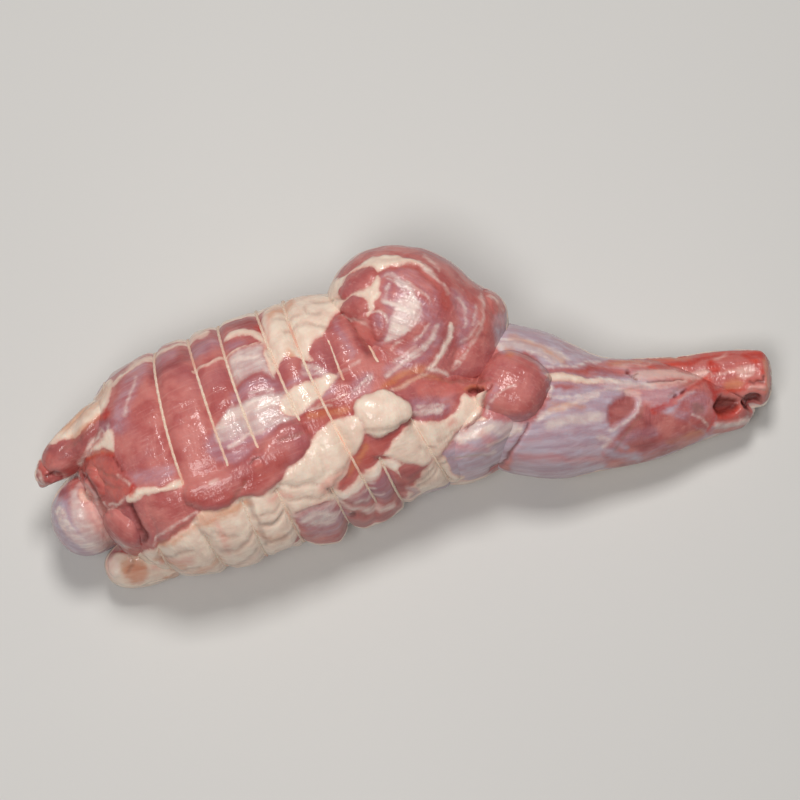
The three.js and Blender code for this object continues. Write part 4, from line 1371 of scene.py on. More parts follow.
@dataclass(frozen=True)
class Roll(Body):
    """The rolled thigh, with cushions over its skin and a waist under each loop of twine."""

    TURNED = (-0.3, 0.0)  # cosine to the line of sight between which the meat may close over the twine
    CLOSING = (-1.5, 1)  # depth inside an outline of closed meat between which it does
    REST_GAPS = 3  # clearances between the surface and the meat that arches over a loop

    # Each cushion's place along the roll, angle from the top, half sizes along and round, and height.
    cushions: tuple[tuple[float, ...], ...] = ()

    def cushion_height(self, along: Array, angle: Array) -> Array:
        """Sum of height exp(-u^2 - v^2), u and v being the distances along and round over the half sizes.

        Args:
            along: Distance along the roll.
            angle: Angle from the top towards the front, in radians.

        Returns:
            The cushions' height.
        """
        half = self.rows(along)[2]
        total = np.zeros(np.broadcast(along, angle).shape)
        for centre, turn, long, wide, height in self.cushions:
            u = (along - centre) / long
            v = (angle - np.radians(turn)) * half / wide
            total += height * np.exp(-u * u - v * v)
        return total

    def leaning(self, at: Array, angle: Array) -> Array:
        """Leaning rings: between two loops a blend of both, and upright at the ends.

        Args:
            at: Each ring's place along the roll.
            angle: The angles round it, in radians.

        Returns:
            Distance along the roll, rings by angles.
        """
        marks = (Tie(0, 0, 0), *TIES, Tie(self.length, 0, 0))
        places = np.array([mark.at for mark in marks])
        lines = np.array([mark.station(angle) for mark in marks])
        i = np.clip(np.searchsorted(places, at, side="right") - 1, 0, len(marks) - 2)
        share = ((at - places[i]) / (places[i + 1] - places[i]))[:, None]
        return lines[i] * (1 - share) + lines[i + 1] * share

    def base(self) -> Array:
        """The skin with its cushions, on rings that lean as the loops do.

        Returns:
            A grid of points, one ring a row.
        """
        angle = angles(self.sides)
        along = self.leaning(self.stations(), angle)
        around = np.broadcast_to(angle, along.shape)
        return self.point(along, around, self.cushion_height(along, around))

    def polar(self, own: Array) -> tuple[Array, ...]:
        """Centre offset, centre height, angle and radius of points about the roll's centre line.

        Args:
            own: Points in the roll's own frame.

        Returns:
            The four arrays, in that order.
        """
        back, height = self.rows(own[..., 0])[:2]
        front, up = back - own[..., 1], own[..., 2] - height
        return back, height, np.arctan2(front, up), np.hypot(front, up)

    def squeezed(self, own: Array, free: Array) -> Array:
        """Draws the meat in under each loop to a bed below its centre line.

        Args:
            own: Points in the roll's own frame.
            free: 1 where the meat has closed over the twine and isn't drawn in, 0 elsewhere.

        Returns:
            The points after all loops.
        """
        own = own.copy()
        for tie in TIES:
            back, height, angle, radius = self.polar(own)
            bed = self.point(own[..., 0], angle, -TWINE.sink - TWINE.under)
            limit = np.hypot(back - bed[..., 1], bed[..., 2] - height)
            reach = TWINE.reach + TWINE.spread * self.cushion_height(own[..., 0], angle)
            pull = waist(own[..., 0] - tie.station(angle), TWINE.bed, reach, TWINE.plump) * (1 - free)
            radius = radius - np.maximum(radius - limit, 0) * pull
            own[..., 1] = back - radius * np.sin(angle)
            own[..., 2] = height + radius * np.cos(angle)
        return own

    def rested(self, own: Array) -> Array:
        """Flattens what would sink into the surface, and arches it over each loop.

        Args:
            own: Points in the roll's own frame.

        Returns:
            The points, moved up where they were too low.
        """
        arch = 2 * TWINE.radius + self.REST_GAPS * TWINE.clearance
        angle = self.polar(own)[2]
        nearest = np.min([np.abs(own[..., 0] - tie.station(angle)) for tie in TIES], axis=0)
        own[..., 2] = np.maximum(own[..., 2], arch * waist(nearest, TWINE.bed, TWINE.arch_reach))
        return own

    def shaped(self, points: Array, lay: Lay) -> Array:
        """The skin with its relief, drawn in by each loop unless the meat has closed over it, and at rest.

        Args:
            points: The smooth skin, in the shared frame.
            lay: What lies over it.

        Returns:
            The roll's skin, in the shared frame.
        """
        flat = SHOW.flat(points).reshape(-1, 2)
        over = np.max([shape.depth(flat) for shape in OVER_TWINE], axis=0).reshape(points.shape[:2])
        seen = smooth(*self.TURNED, SHOW.facing(points, lay.normals))
        raised = self.place.own(super().shaped(points, lay))
        tied = self.squeezed(raised, smooth(*self.CLOSING, over) * seen)
        return self.place.out(self.rested(tied))

    def tie_line(self, tie: Tie, angle: Array) -> Array:
        """A loop's centre line, in the roll's own frame.

        Args:
            tie: The loop.
            angle: Angles in radians round the roll.

        Returns:
            One point for each angle.
        """
        own = self.point(tie.station(angle), angle, -TWINE.sink)
        own[..., 2] = np.maximum(own[..., 2], TWINE.radius + TWINE.clearance)
        return own


@dataclass(frozen=True)
class Lobe(Form):
    """A rounded muscle, flap or knob of fat: a squashed ball with its poles at the ends of its own X axis."""

    half: Triple
    step: float = 0.8  # distance between two corners
    squareness: float = 2.0  # exponent of its outline, 2 being an ellipsoid
    bulges: tuple[tuple[Place, Triple], ...] = ()  # smaller balls grown together with it
    blend: float = 3.0  # width of the fillet between it and them

    def reach(self, rays: Array) -> Array:
        """How far the skin is from the middle: k ln(sum of e^(reach / k)) over all balls, k being the blend.

        Args:
            rays: Unit vectors from the lobe's middle, in its own frame.

        Returns:
            The distance along each ray.
        """
        near = np.sum(np.abs(rays / self.half) ** self.squareness, axis=-1) ** (-1 / self.squareness)
        total = np.exp((near - max(self.half)) / self.blend)
        for place, half in self.bulges:
            turn = place.turn() @ self.place.turn().T
            ray = rays @ turn.T / half
            middle = self.place.turn() @ (np.array(place.at) - self.place.at) @ turn.T / half
            a, b = np.sum(ray * ray, axis=-1), ray @ middle
            root = b * b - a * (middle @ middle - 1)
            far = np.where(root > 0, (b + np.sqrt(np.maximum(root, 0))) / a, 0)
            total += np.exp((far - max(self.half)) / self.blend) * (far > 0)
        return max(self.half) + self.blend * np.log(total)

    def base(self) -> Array:
        """The smooth skin: rays (-cos p, -sin p sin a, sin p cos a) in the lobe's proportions.

        Returns:
            A grid of points, one ring a row.
        """
        size = float(np.mean(self.half))
        p = np.linspace(0, np.pi, int(np.pi * size / self.step))[:, None]
        a = angles(int(2 * np.pi * size / self.step))[None]
        rays = np.stack([-np.cos(p) + 0 * a, -np.sin(p) * np.sin(a), np.sin(p) * np.cos(a)], -1) * self.half
        rays /= np.linalg.norm(rays, axis=-1, keepdims=True)
        return rays * self.reach(rays)[..., None]


# ---- The leg's own forms ----

ROLL = Roll(
    name="rolled_thigh",
    place=Place((-170, -24, 0), 12.2),
    length=230,
    blunt=(40, 36),
    boxiness=2.2,
    sections=(
        (2, 40, 40, 42), (1, 42, 54, 48), (-1, 43, 60, 52), (-2, 43, 62, 53), (-1, 43, 62, 53),
        (-2, 43, 61, 52), (-9, 41, 55, 48), (-15, 38, 45, 40), (-20, 36, 36, 35),
    ),
    cushions=((158, 25, 19, 15, 5), (118, 104, 17, 20, 6), (142, 106, 11, 20, 3.5), (88, 107, 10, 18, -4),
              (166, 98, 11, 18, -3), (128, -80, 28, 22, -3), (25, -65, 20, 20, -2.5)),
    sides=320,
    step=1.1,
    cover=Cover(fat=0.35, silver=0.2, size=34),
    seed=10,
)

SHANK = Body(
    name="shank",
    place=Place((25, -3.3, 0), -6.5),
    length=162,
    blunt=(34, 9),
    boxiness=2.1,
    sections=((4, 42, 38, 38), (0.5, 39, 39.5, 38), (-4.8, 35, 38.3, 35), (-9, 30, 29.5, 30),
              (-8, 26.5, 26, 26), (-7, 23, 17, 20), (-8, 18, 8.5, 12)),
    sides=210,
    cover=Cover(fat=-0.5, silver=0.9, size=22, lumps=0.4),
    seed=20,
)

BONE_START = 35.0  # distance along the shank
SHIN = Body(
    name="shin_bone_and_knuckle",
    place=Place(tuple(SHANK.place.out(np.array([BONE_START, 0, 0]))), SHANK.place.yaw),
    length=136,
    blunt=(10, 6),
    boxiness=2.3,
    sections=((8, 38, 9, 9), (9, 37, 9, 9), (9, 35, 8.5, 9), (8, 32, 9.5, 9), (7, 29, 12, 10),
              (6, 26, 15.5, 13), (6, 25.5, 13.5, 15)),
    sides=130,
    step=0.7,
    cover=Cover(fat=0.6, silver=-0.4, size=9, lumps=1.2),
    seed=30,
)

LOBES = (
    Lobe("folded_muscle", Place((10, 39, 60), -33), Cover(-0.5, 0.5, 24), 41, (42.5, 36, 42),
         bulges=((Place((38, 27, 54), -30), (22.5, 24, 34)), (Place((48, 34.5, 62)), (11, 10, 16)),
                 (Place((6, 13, 58), -33), (33, 25, 31)), (Place((35, 11, 52), -20), (19, 18, 30))),
         blend=3.5),
    Lobe("heel_muscle", Place((57, -9.5, 58), -35), Cover(-0.9, -0.2, 20, 0.9), 43, (19, 18.5, 25),
         step=0.7, squareness=2.8, bulges=((Place((47.5, -14.5, 55)), (10.5, 9, 23)),), blend=4),
    Lobe("heel_fat", Place((40, -25.5, 39), 24), Cover(0.6, 0.2, 26, 0.5), 44, (32, 17, 37),
         squareness=2.2),
    Lobe("rump_ball", Place((-171, -31, 36)), Cover(0.0, 1.0, 20, 0.4), 45, (17, 20, 25),
         step=0.7, bulges=((Place((-163, -24, 26)), (20, 22, 24)),)),
    Lobe("rump_flap", Place((-163.5, 6, 54), 34), Cover(0.5, 0.2, 20, 1.0), 46, (26.5, 10.5, 15),
         step=0.7, squareness=2.7, bulges=((Place((-156, 7, 63), 50), (17, 9, 15)),)),
    Lobe("rump_flap_tip", Place((-185.5, -8, 51), 62), Cover(-0.5, 0.0, 12, 1.6), 47, (6.5, 5.5, 8),
         step=0.5, squareness=2.3, bulges=((Place((-188, -9.5, 42.5), 40), (4.6, 3.2, 6.5)),
                                           (Place((-179.5, -7, 51)), (7.5, 5.5, 8))), blend=2),
    Lobe("rump_chunk", Place((-152, -20, 58), -25), Cover(-0.6, 0.0, 16, 2.4), 48, (15, 14, 16),
         step=0.7, squareness=2.8),
    Lobe("rump_wedge", Place((-147, -43, 49), -55), Cover(-0.9, -0.4, 16, 0.6), 49, (15, 12, 24),
         step=0.7, squareness=2.5),
    Lobe("rump_knob", Place((-141.5, -54.5, 20), 8), Cover(0.9, 0.0, 20, 1.1), 50, (24, 13, 18),
         step=0.7, squareness=2.3),
)


@dataclass(frozen=True)
class TwineLoop:
    """One loop of twine round the roll, tied low on the back, with two short tails."""

    number: int
    tie: Tie
    steps: int = 520
    sides: int = 12
    thin: float = 0.8  # radius of the tube against the twine's own, its plies standing out of it
    plies: Point = (0.78, 0.27)  # share of the tube's radius between two plies, and what a ply adds to it
    knot_side: float = -115.0  # angle of the knot from the top towards the front
    knot_steps: int = 90
    knot_half: Triple = (0.75, 0.9, 0.85)  # along the roll, out of it and up
    knot_lift: float = 1.4
    lean_out: float = 1.02  # how far off the centre line the way out is measured
    tail: float = 11.0
    tail_steps: int = 26
    tail_way: Point = (0.75, -0.6)  # how far a tail runs along the roll and up, for each unit of length
    tail_lift: Triple = (1.2, 1.6, 0.6)  # out of the roll: at its start, in its bow, and its fall to the tip
    tail_end: float = 0.04  # share of a tail that its tip takes up
    tail_square: int = 16  # exponent of its rounding

    def line(self) -> Array:
        """The loop's centre line in the shared frame."""
        share = np.arange(self.steps) / self.steps
        return ROLL.place.out(ROLL.tie_line(self.tie, 2 * np.pi * share))

    def tube(self, line: Array, radius: Array, closed: bool) -> Array:
        """A two-ply tube: radius (least + ply |cos(angle - lay)|), lay being half a turn for each pitch.

        Args:
            line: The centre line's points.
            radius: The radius at each of them.
            closed: Whether the line joins its own start.

        Returns:
            The tube's grid of rings.
        """
        if closed:
            run = np.roll(line, -1, axis=0) - np.roll(line, 1, axis=0)
            spans = np.linalg.norm(np.roll(line, -1, axis=0) - line, axis=1)
        else:
            run = np.gradient(line, axis=0)
            spans = np.linalg.norm(run, axis=1)
        run /= np.linalg.norm(run, axis=1, keepdims=True)
        middle = line - line.mean(axis=0)
        out = middle - run * np.sum(middle * run, axis=1, keepdims=True)
        out /= np.linalg.norm(out, axis=1, keepdims=True)
        across = np.cross(run, out)
        length = np.cumsum(spans) - spans
        turns = max(round(spans.sum() / TWINE.pitch), 1) / spans.sum()
        angle = -angles(self.sides)[None]
        least, ply = self.plies
        swollen = radius[:, None] * (least + ply * np.abs(np.cos(angle - np.pi * turns * length[:, None])))
        ring = np.cos(angle)[..., None] * out[:, None] + np.sin(angle)[..., None] * across[:, None]
        return line[:, None] + swollen[..., None] * ring

    def strand(self, name: str, line: Array, taper: Array | float, looped: bool,
               material: Material) -> Object:
        """Makes one length of twine.

        Args:
            name: The piece's name.
            line: Its centre line.
            taper: Its radius as a share of the full one.
            looped: Whether it joins its own start.
            material: The twine's finish.

        Returns:
            The new object.
        """
        radius = np.broadcast_to(self.thin * TWINE.radius * taper, len(line))
        rings = self.tube(line, radius, looped)
        return grid_mesh(name, rings if looped else closed_ends(rings), {"grain": rings}, material, looped)

    def knot_line(self) -> Array:
        """The knot's own curve, a trefoil: sin t + 2 sin 2t, sin 3t and cos t - 2 cos 2t.

        Returns:
            The points along the curve.
        """
        t = 2 * np.pi * np.arange(self.knot_steps) / self.knot_steps
        trefoil = [np.sin(t) + 2 * np.sin(2 * t), np.sin(3 * t), np.cos(t) - 2 * np.cos(2 * t)]
        return np.stack(trefoil, -1) * self.knot_half

    def tail_line(self, way: int) -> Array:
        """A tail's own curve: straight to its side, and out by start + bow sin(pi s) - fall s.

        Args:
            way: The side that the tail lies to, as a sign.

        Returns:
            The points along the curve.
        """
        s = np.linspace(0, 1, self.tail_steps)
        start, bow, fall = self.tail_lift
        aside, up = self.tail_way
        return np.stack([aside * way * self.tail * s, start + bow * np.sin(np.pi * s) - fall * s,
                         up * self.tail * s], -1)

    def tail_taper(self) -> Array:
        """A tail's thickness along it: sqrt(1 - (2 s - 1)^16), held near its tips, which are points.

        Returns:
            One thickness for each point of the tail.
        """
        s = np.clip(np.linspace(0, 1, self.tail_steps), self.tail_end, 1 - self.tail_end)
        taper = np.sqrt(np.clip(1 - (2 * s - 1) ** self.tail_square, 0, 1))
        taper[[0, -1]] = 0
        return taper

    def build(self, material: Material) -> Object:
        """Builds the loop, its knot and its tails as one piece.

        Args:
            material: The twine's finish.

        Returns:
            The new piece.
        """
        name = f"twine_{self.number}"
        own = ROLL.tie_line(self.tie, np.radians([self.knot_side]))
        at = ROLL.place.out(own)[0]
        out = ROLL.place.out(own * [1, self.lean_out, 1])[0] - at
        out = out / np.linalg.norm(out)
        frame = np.array([ROLL.place.turn()[0], out, [0, 0, 1]])
        knot = at + out * self.knot_lift + self.knot_line() @ frame
        parts = [
            self.strand(name, self.line(), 1.0, True, material),
            self.strand(name + "_knot", knot, 1.0, True, material),
        ]
        for way in (-1, 1):
            line = at + self.tail_line(way) @ frame
            parts.append(self.strand(name + "_tail", line, self.tail_taper(), False, material))
        return joined(parts)


def joined(parts: list[Object]) -> Object:
    """Joins pieces into the first of them and returns it.

    Args:
        parts: The pieces, of which the first stays.

    Returns:
        The joined piece.
    """
    chosen = {"active_object": parts[0], "selected_editable_objects": parts, "selected_objects": parts}
    with bpy.context.temp_override(**chosen):
        bpy.ops.object.join()
    return parts[0]


# ---- Finishes ----


def paint(red: int, green: int, blue: int) -> Colour:
    """A colour given as it is seen, from 0 to 255, as light by the standard screen curve.

    Args:
        red: Red as seen.
        green: Green as seen.
        blue: Blue as seen.

    Returns:
        The colour as light.
    """
    seen = np.array([red, green, blue]) / 255
    light = np.where(seen <= 0.04045, seen / 12.92, ((seen + 0.055) / 1.055) ** 2.4)
    return (*light.tolist(), 1.0)


class Graph:
    """A material under construction: short ways to add and join its nodes."""

    MIX_INPUTS = (6, 7)  # a mix node's sockets for two colours
    MIX_OUTPUT = 2

    def __init__(self, name: str) -> None:
        """Starts an empty material with a Principled surface.

        Args:
            name: The material's name.
        """
        self.material = bpy.data.materials.new(name)
        self.material.use_nodes = True
        self.nodes = self.material.node_tree.nodes
        self.nodes.clear()
        self.surface = self.nodes.new("ShaderNodeBsdfPrincipled")
        output = self.nodes.new("ShaderNodeOutputMaterial")
        self.join(self.surface.outputs["BSDF"], output.inputs["Surface"])

    def join(self, source: Socket, target: Socket) -> None:
        """Links two sockets."""
        self.material.node_tree.links.new(source, target)

    def put(self, socket: Socket, value: object) -> None:
        """Links a socket, or sets its value where a plain number or colour is given.

        Args:
            socket: The input to set.
            value: A socket, a number or a colour.
        """
        if isinstance(value, Socket):
            self.join(value, socket)
        else:
            socket.default_value = value

    def attribute(self, name: str, vector: bool = False) -> Socket:
        """Reads one of the mesh's attributes.

        Args:
            name: The attribute's name.
            vector: Whether its vector is read rather than its number.

        Returns:
            The output with its value.
        """
        node = self.nodes.new("ShaderNodeAttribute")
        node.attribute_name = name
        return node.outputs["Vector" if vector else "Fac"]

    def sum(self, operation: str, first: object, second: object) -> Socket:
        """A sum of two numbers.

        Args:
            operation: Name of the operation.
            first: A number or a socket.
            second: A number or a socket.

        Returns:
            The output with the result.
        """
        node = self.nodes.new("ShaderNodeMath")
        node.operation = operation
        self.put(node.inputs[0], first)
        self.put(node.inputs[1], second)
        return node.outputs[0]

    def swing(self, noise: Socket, height: float) -> Socket:
        """Height times noise, centred on 0."""
        return self.sum("MULTIPLY", self.sum("SUBTRACT", noise, 0.5), height)

    def rest(self, value: Socket, share: float) -> Socket:
        """What a share of a value leaves of 1."""
        return self.sum("SUBTRACT", 1.0, self.sum("MULTIPLY", value, share))

    def stretched(self, vector: Socket, scale: Triple) -> Socket:
        """Places scaled along each axis.

        Args:
            vector: The places.
            scale: A scale for each axis.

        Returns:
            The output with the scaled places.
        """
        node = self.nodes.new("ShaderNodeVectorMath")
        node.operation = "MULTIPLY"
        self.join(vector, node.inputs[0])
        node.inputs[1].default_value = scale
        return node.outputs[0]

    def noise(self, vector: Socket, size: float, detail: float = 2.0) -> Socket:
        """Noise from 0 to 1 whose lumps are about one size across, in the vector's units.

        Args:
            vector: The places.
            size: Width of a lump.
            detail: How much finer noise is added.

        Returns:
            The output with the noise.
        """
        node = self.nodes.new("ShaderNodeTexNoise")
        self.join(vector, node.inputs["Vector"])
        node.inputs["Scale"].default_value = 1 / size
        node.inputs["Detail"].default_value = detail
        return node.outputs["Fac"]

    def ramp(self, low: float, high: float, value: Socket, top: float = 1.0) -> Socket:
        """Rises smoothly from 0 at low to top at high.

        Args:
            low: Where the rise starts.
            high: Where the rise ends.
            value: The number that rises.
            top: Height at the end of the rise.

        Returns:
            The output with the height.
        """
        node = self.nodes.new("ShaderNodeMapRange")
        node.interpolation_type = "SMOOTHSTEP"
        self.join(value, node.inputs["Value"])
        node.inputs["From Min"].default_value = low
        node.inputs["From Max"].default_value = high
        node.inputs["To Max"].default_value = top
        return node.outputs["Result"]

    def mix(self, share: object, first: object, second: object) -> Socket:
        """A colour between two others.

        Args:
            share: Share of the second colour.
            first: A colour or a socket.
            second: A colour or a socket.

        Returns:
            The output with the colour.
        """
        node = self.nodes.new("ShaderNodeMix")
        node.data_type = "RGBA"
        self.put(node.inputs["Factor"], share)
        for place, colour in zip(self.MIX_INPUTS, (first, second)):
            self.put(node.inputs[place], colour)
        return node.outputs[self.MIX_OUTPUT]

    def bump(self, height: Socket, distance: float, normal: Socket | None = None,
             strength: object = 1.0) -> Socket:
        """Fine relief.

        Args:
            height: The relief, from 0 to 1.
            distance: Its full height in millimetres.
            normal: The relief that it lies on.
            strength: How much of it shows.

        Returns:
            The surface's normal.
        """
        node = self.nodes.new("ShaderNodeBump")
        self.put(node.inputs["Strength"], strength)
        node.inputs["Distance"].default_value = distance * METRES
        self.join(height, node.inputs["Height"])
        if normal is not None:
            self.join(normal, node.inputs["Normal"])
        return node.outputs["Normal"]

    def set(self, **values: object) -> None:
        """Sets or links the surface's sockets, their names written with underscores."""
        for key, value in values.items():
            self.put(self.surface.inputs[key.replace("_", " ")], value)


@dataclass(frozen=True)
class Layer:
    """How one tissue lies over what is under it: its two colours, softness of its edge, and thickness."""

    tissue: Tissue
    colour: Colour
    other: Colour
    soft: float  # half width of its edge
    most: float  # share that it hides at its thickest
    thin: float  # how much streaks thin it, 0 not at all
    rough: float  # how far its edge strays


@dataclass(frozen=True)
class RawMeat:
    """Wet raw lamb: fibrous muscle, the fat, skin and blood over it, and painted shade and highlights."""

    name: str = "raw_lamb"
    lean: Colour = paint(181, 94, 91)
    lean_light: Colour = paint(204, 125, 118)
    lean_violet: Colour = paint(170, 96, 101)
    fibre: Colour = paint(214, 148, 140)
    fat_rim: Colour = paint(230, 190, 174)
    layers: tuple[Layer, ...] = (
        Layer(RED, paint(170, 68, 62), paint(188, 90, 80), 1.8, 0.6, 0.2, 0.8),
        # Plum muscle, which also paints shade.
        Layer(PLUM_AND_SHADE, paint(134, 64, 68), paint(150, 80, 82), 1.8, 0.62, 0.3, 0.8),
        Layer(SILVER, paint(174, 124, 136), paint(192, 152, 162), 2.4, 0.7, 0.4, 1.0),
        Layer(SHEATH, paint(200, 185, 197), paint(184, 162, 175), 2.2, 0.92, 0.2, 0.8),
        Layer(PALE, paint(224, 204, 197), paint(210, 184, 180), 1.8, 0.9, 0.25, 0.8),
        Layer(FAT, paint(246, 226, 207), paint(238, 212, 193), 0.6, 0.97, 0.05, 0.6),
        # The cream film, which also paints highlights.
        Layer(SMEAR, paint(244, 226, 214), paint(238, 212, 202), 1.2, 0.78, 0.45, 0.8),
        Layer(ROSE, paint(226, 136, 124), paint(220, 116, 104), 2.2, 0.5, 0.4, 1.0),
        Layer(STAIN, paint(210, 124, 78), paint(216, 144, 100), 2.0, 0.62, 0.3, 1.0),
        Layer(BLOOD, paint(182, 40, 30), paint(210, 70, 52), 1.2, 0.8, 0.3, 0.9),
        # Painted shade in creases, in grey-brown.
        Layer(CREASE, paint(140, 100, 88), paint(166, 116, 100), 1.3, 0.55, 0.3, 0.5),
        # Painted shade in clefts and hollows, in deep blood red.
        Layer(DARK, paint(92, 30, 28), paint(116, 44, 40), 0.8, 0.85, 0.2, 0.4),
    )
    along: Triple = (0.07, 1, 1)  # scale that draws noise out along the fibres
    across: Triple = (1, 0.3, 0.3)  # scale that draws it out across them
    smeared: Triple = (0.2, 1, 1)  # scale of the streaks that thin a layer
    banded: Triple = (0.14, 1, 1)  # scale of a layer's bands of its other colour
    stray: Point = (2.2, 1.0)  # how far a layer's edge strays by lumps and by fibres

    def build(self) -> Material:
        """Builds the finish: muscle first, then each layer where its depth, strayed by noise, is above 0.

        Returns:
            The material.
        """
        g = Graph(self.name)
        grain = g.attribute("grain", vector=True)
        along = g.stretched(grain, self.along)
        lumps, fibres = g.noise(grain, 2.6, 3), g.noise(along, 1.6, 2)
        stray = g.sum("ADD", g.swing(lumps, self.stray[0]), g.swing(fibres, self.stray[1]))
        thin = g.ramp(0.38, 0.62, g.noise(g.stretched(grain, self.smeared), 3, 3))
        bands = g.ramp(0.38, 0.62, g.noise(g.stretched(grain, self.banded), 4, 3))
        blotches = g.ramp(0.35, 0.65, g.noise(grain, 6, 3))
        colour = g.mix(g.ramp(0.35, 0.65, g.noise(grain, 11, 3)), self.lean, self.lean_light)
        colour = g.mix(g.ramp(0.45, 0.7, g.noise(grain, 30, 2), 0.7), colour, self.lean_violet)
        colour = g.mix(g.ramp(0.52, 0.74, g.noise(along, 1.5, 3), 0.35), colour, self.fibre)
        covers = {}
        for layer in self.layers:
            depth = g.sum("ADD", g.attribute(layer.tissue.value), g.sum("MULTIPLY", stray, layer.rough))
            cover = g.ramp(-layer.soft, layer.soft, depth, layer.most)
            cover = g.sum("MULTIPLY", cover, g.rest(thin, layer.thin))
            covers[layer.tissue] = cover
            tint = g.mix(blotches if layer.tissue in (FAT, PALE) else bands, layer.colour, layer.other)
            if layer.tissue is FAT:
                tint = g.mix(g.ramp(0.0, 1.8, depth), self.fat_rim, tint)
            colour = g.mix(cover, colour, tint)
        # Fine fibres, ripples across them in places that have no sheath, and soft lumps over all.
        fine = g.bump(g.noise(along, 0.9, 2), 0.12)
        bare = g.sum("MULTIPLY", g.rest(covers[SHEATH], 0.8), g.ramp(0.35, 0.65, g.noise(grain, 15, 2)))
        ripples = g.bump(g.noise(g.stretched(grain, self.across), 1.6, 2), 0.55, fine, bare)
        lumpy = g.bump(g.noise(grain, 2.8, 2), 0.3, ripples)
        rough = g.sum("ADD", g.sum("MULTIPLY", covers[FAT], 0.12), 0.42)
        g.set(Base_Color=colour, Normal=lumpy, Roughness=rough)
        g.set(Subsurface_Weight=0.2, Subsurface_Scale=0.002, Subsurface_Radius=(1.0, 0.4, 0.3))
        g.set(Coat_Weight=0.6, Coat_Roughness=0.08, Coat_IOR=1.4, Specular_IOR_Level=0.18)
        g.set(Coat_Normal=lumpy)
        return g.material


@dataclass(frozen=True)
class CottonTwine:
    """Cream cotton twine, stained pink where it has drawn up blood."""

    name: str = "cotton_twine"
    cotton: Colour = paint(238, 218, 198)
    shade: Colour = paint(220, 188, 166)
    pink: Colour = paint(220, 150, 128)

    def build(self) -> Material:
        """Builds the finish: two creams by fine noise, and pink by a slow one along the loop.

        Returns:
            The material.
        """
        g = Graph(self.name)
        grain = g.attribute("grain", vector=True)
        colour = g.mix(g.ramp(0.3, 0.7, g.noise(grain, 0.7, 2)), self.cotton, self.shade)
        colour = g.mix(g.ramp(0.45, 0.75, g.noise(grain, 22, 2), 0.7), colour, self.pink)
        g.set(Base_Color=colour, Roughness=0.75, Normal=g.bump(g.noise(grain, 0.35, 2), 0.15))
        g.set(Subsurface_Weight=0.1, Subsurface_Scale=0.001, Sheen_Weight=0.15, Specular_IOR_Level=0.3)
        return g.material


@dataclass(frozen=True)
class PaleFloor:
    """A plain pale floor with a faint change of tone."""

    name: str = "pale_floor"
    colour: Colour = paint(216, 214, 211)
    shade: Colour = paint(210, 208, 205)
    tone_size: float = 0.4  # size of the changes of tone, in metres

    def build(self) -> Material:
        """Builds the finish.

        Returns:
            The material.
        """
        g = Graph(self.name)
        place = g.nodes.new("ShaderNodeTexCoord").outputs["Object"]
        g.set(Base_Color=g.mix(g.noise(place, self.tone_size), self.colour, self.shade), Roughness=0.8)
        return g.material


# ---- The whole leg and its studio ----


@dataclass
class Assembly:
    """A part of the leg whose pieces stand in for one or more of the plain solids."""

    slot: str  # name of a material slot

    def fit(self, piece: Object, node: str) -> Object:
        """Puts a piece in a solid's place.

        Args:
            piece: The new piece.
            node: The solid's name.

        Returns:
            The same piece.
        """
        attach(piece, "root")
        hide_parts(node)
        return piece


@dataclass
class Meat(Assembly):
    """The leg's meat: roll, shank and the lobes that stand out of them, in place of the plain solid."""

    slot: str = "meat"
    node: str = "leg_meat"
    bodies: tuple[Body | Lobe, ...] = (ROLL, SHANK, *LOBES)

    def build(self, material: Material) -> list[Object]:
        """Builds each piece in the solid's place."""
        return [self.fit(body.build(material), self.node) for body in self.bodies]


@dataclass
class Bone(Assembly):
    """The shin bone and the knuckle of the hock."""

    slot: str = "bone"
    node: str = "shank_bone"

    def build(self, material: Material) -> list[Object]:
        """Builds the bone in its solid's place."""
        return [self.fit(SHIN.build(material), self.node)]


@dataclass
class Tying(Assembly):
    """The eight loops of twine."""

    slot: str = "twine"

    def build(self, material: Material) -> list[Object]:
        """Builds each loop in its solid's place."""
        loops = [TwineLoop(number, tie) for number, tie in enumerate(TIES, start=1)]
        return [self.fit(loop.build(material), f"tie_{loop.number}") for loop in loops]


def aimed(name: str, data: bpy.types.ID, at: Sequence[float], target: Sequence[float] = (0, 0, 0)) -> Object:
    """Adds a light or a camera that faces a target.

    Args:
        name: Its name.
        data: The light or camera itself.
        at: Its place, in metres.
        target: What it faces, in metres.

    Returns:
        The new object.
    """
    thing = bpy.data.objects.new(name, data)
    thing.location = at
    sight = type(thing.location)(target) - thing.location
    thing.rotation_mode = "QUATERNION"
    thing.rotation_quaternion = sight.to_track_quat("-Z", "Y")
    bpy.context.scene.collection.objects.link(thing)
    return thing


@dataclass(frozen=True)
class SoftLight:
    """A square light that faces the leg: its place and side in metres, its power in watts, and its colour."""

    name: str
    at: Triple
    side: float
    power: float
    colour: Triple

    def build(self) -> Object:
        """Adds the light.

        Returns:
            The light's object.
        """
        data = bpy.data.lights.new(self.name, "AREA")
        data.size, data.energy, data.color = self.side, self.power, self.colour
        return aimed(self.name, data, self.at)


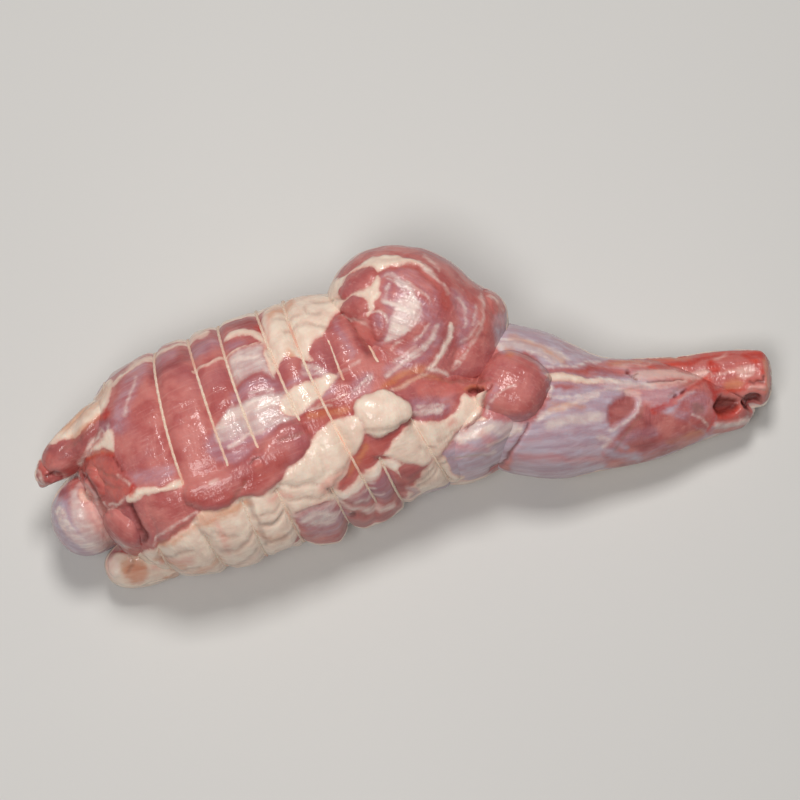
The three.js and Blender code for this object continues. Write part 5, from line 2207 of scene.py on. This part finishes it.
@dataclass
class Studio:
    """Floor, soft lights and camera."""

    floor_half: float = 6.0  # in metres
    sensor: float = 36.0
    sky: Colour = (0.9, 0.92, 0.95, 1)
    sky_strength: float = 0.09
    lights: tuple[SoftLight, ...] = (
        SoftLight("key", (0.05, 0.45, 1.5), 0.4, 13, (1.0, 0.985, 0.96)),
        SoftLight("front", (-0.3, -0.5, 1.4), 0.5, 9, (1.0, 0.985, 0.97)),
    )

    def floor(self) -> Object:
        """Makes the floor, level with the surface that the leg lies on.

        Returns:
            The floor's object.
        """
        mesh = bpy.data.meshes.new("floor")
        ends = [(-1, -1), (1, -1), (1, 1), (-1, 1)]
        places = [(x * self.floor_half, y * self.floor_half, 0) for x, y in ends]
        mesh.from_pydata(places, [], [(0, 1, 2, 3)])
        mesh.materials.append(PaleFloor().build())
        piece = bpy.data.objects.new("floor", mesh)
        bpy.context.scene.collection.objects.link(piece)
        return piece

    def camera(self) -> None:
        """Sets the camera on the show plane's line of sight."""
        data = bpy.data.cameras.new("camera")
        data.sensor_width = self.sensor
        data.lens = self.sensor / 2 * SHOW.distance / SHOW.half_width
        place, target = SHOW.eye() * METRES, np.array(SHOW.target) * METRES
        bpy.context.scene.camera = aimed("camera", data, place, target)

    def build(self) -> None:
        """Builds the studio, with a faint even light from all sides."""
        self.camera()
        self.floor()
        for light in self.lights:
            light.build()
        world = bpy.data.worlds.new("studio")
        world.use_nodes = True
        sky = world.node_tree.nodes["Background"].inputs
        sky["Color"].default_value = self.sky
        sky["Strength"].default_value = self.sky_strength
        bpy.context.scene.world = world
        bpy.context.scene.view_settings.view_transform = "Standard"


def main() -> None:
    """Loads the frame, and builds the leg's pieces in order."""
    logging.basicConfig(level=logging.INFO, format="%(name)s: %(message)s")
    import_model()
    Studio().build()
    meat = RawMeat().build()
    pieces = Meat().build(meat) + Bone().build(meat) + Tying().build(CottonTwine().build())
    for piece in pieces:
        LOG.info("%s: %d faces", piece.name, len(piece.data.polygons))


if __name__ == "__main__":
    main()
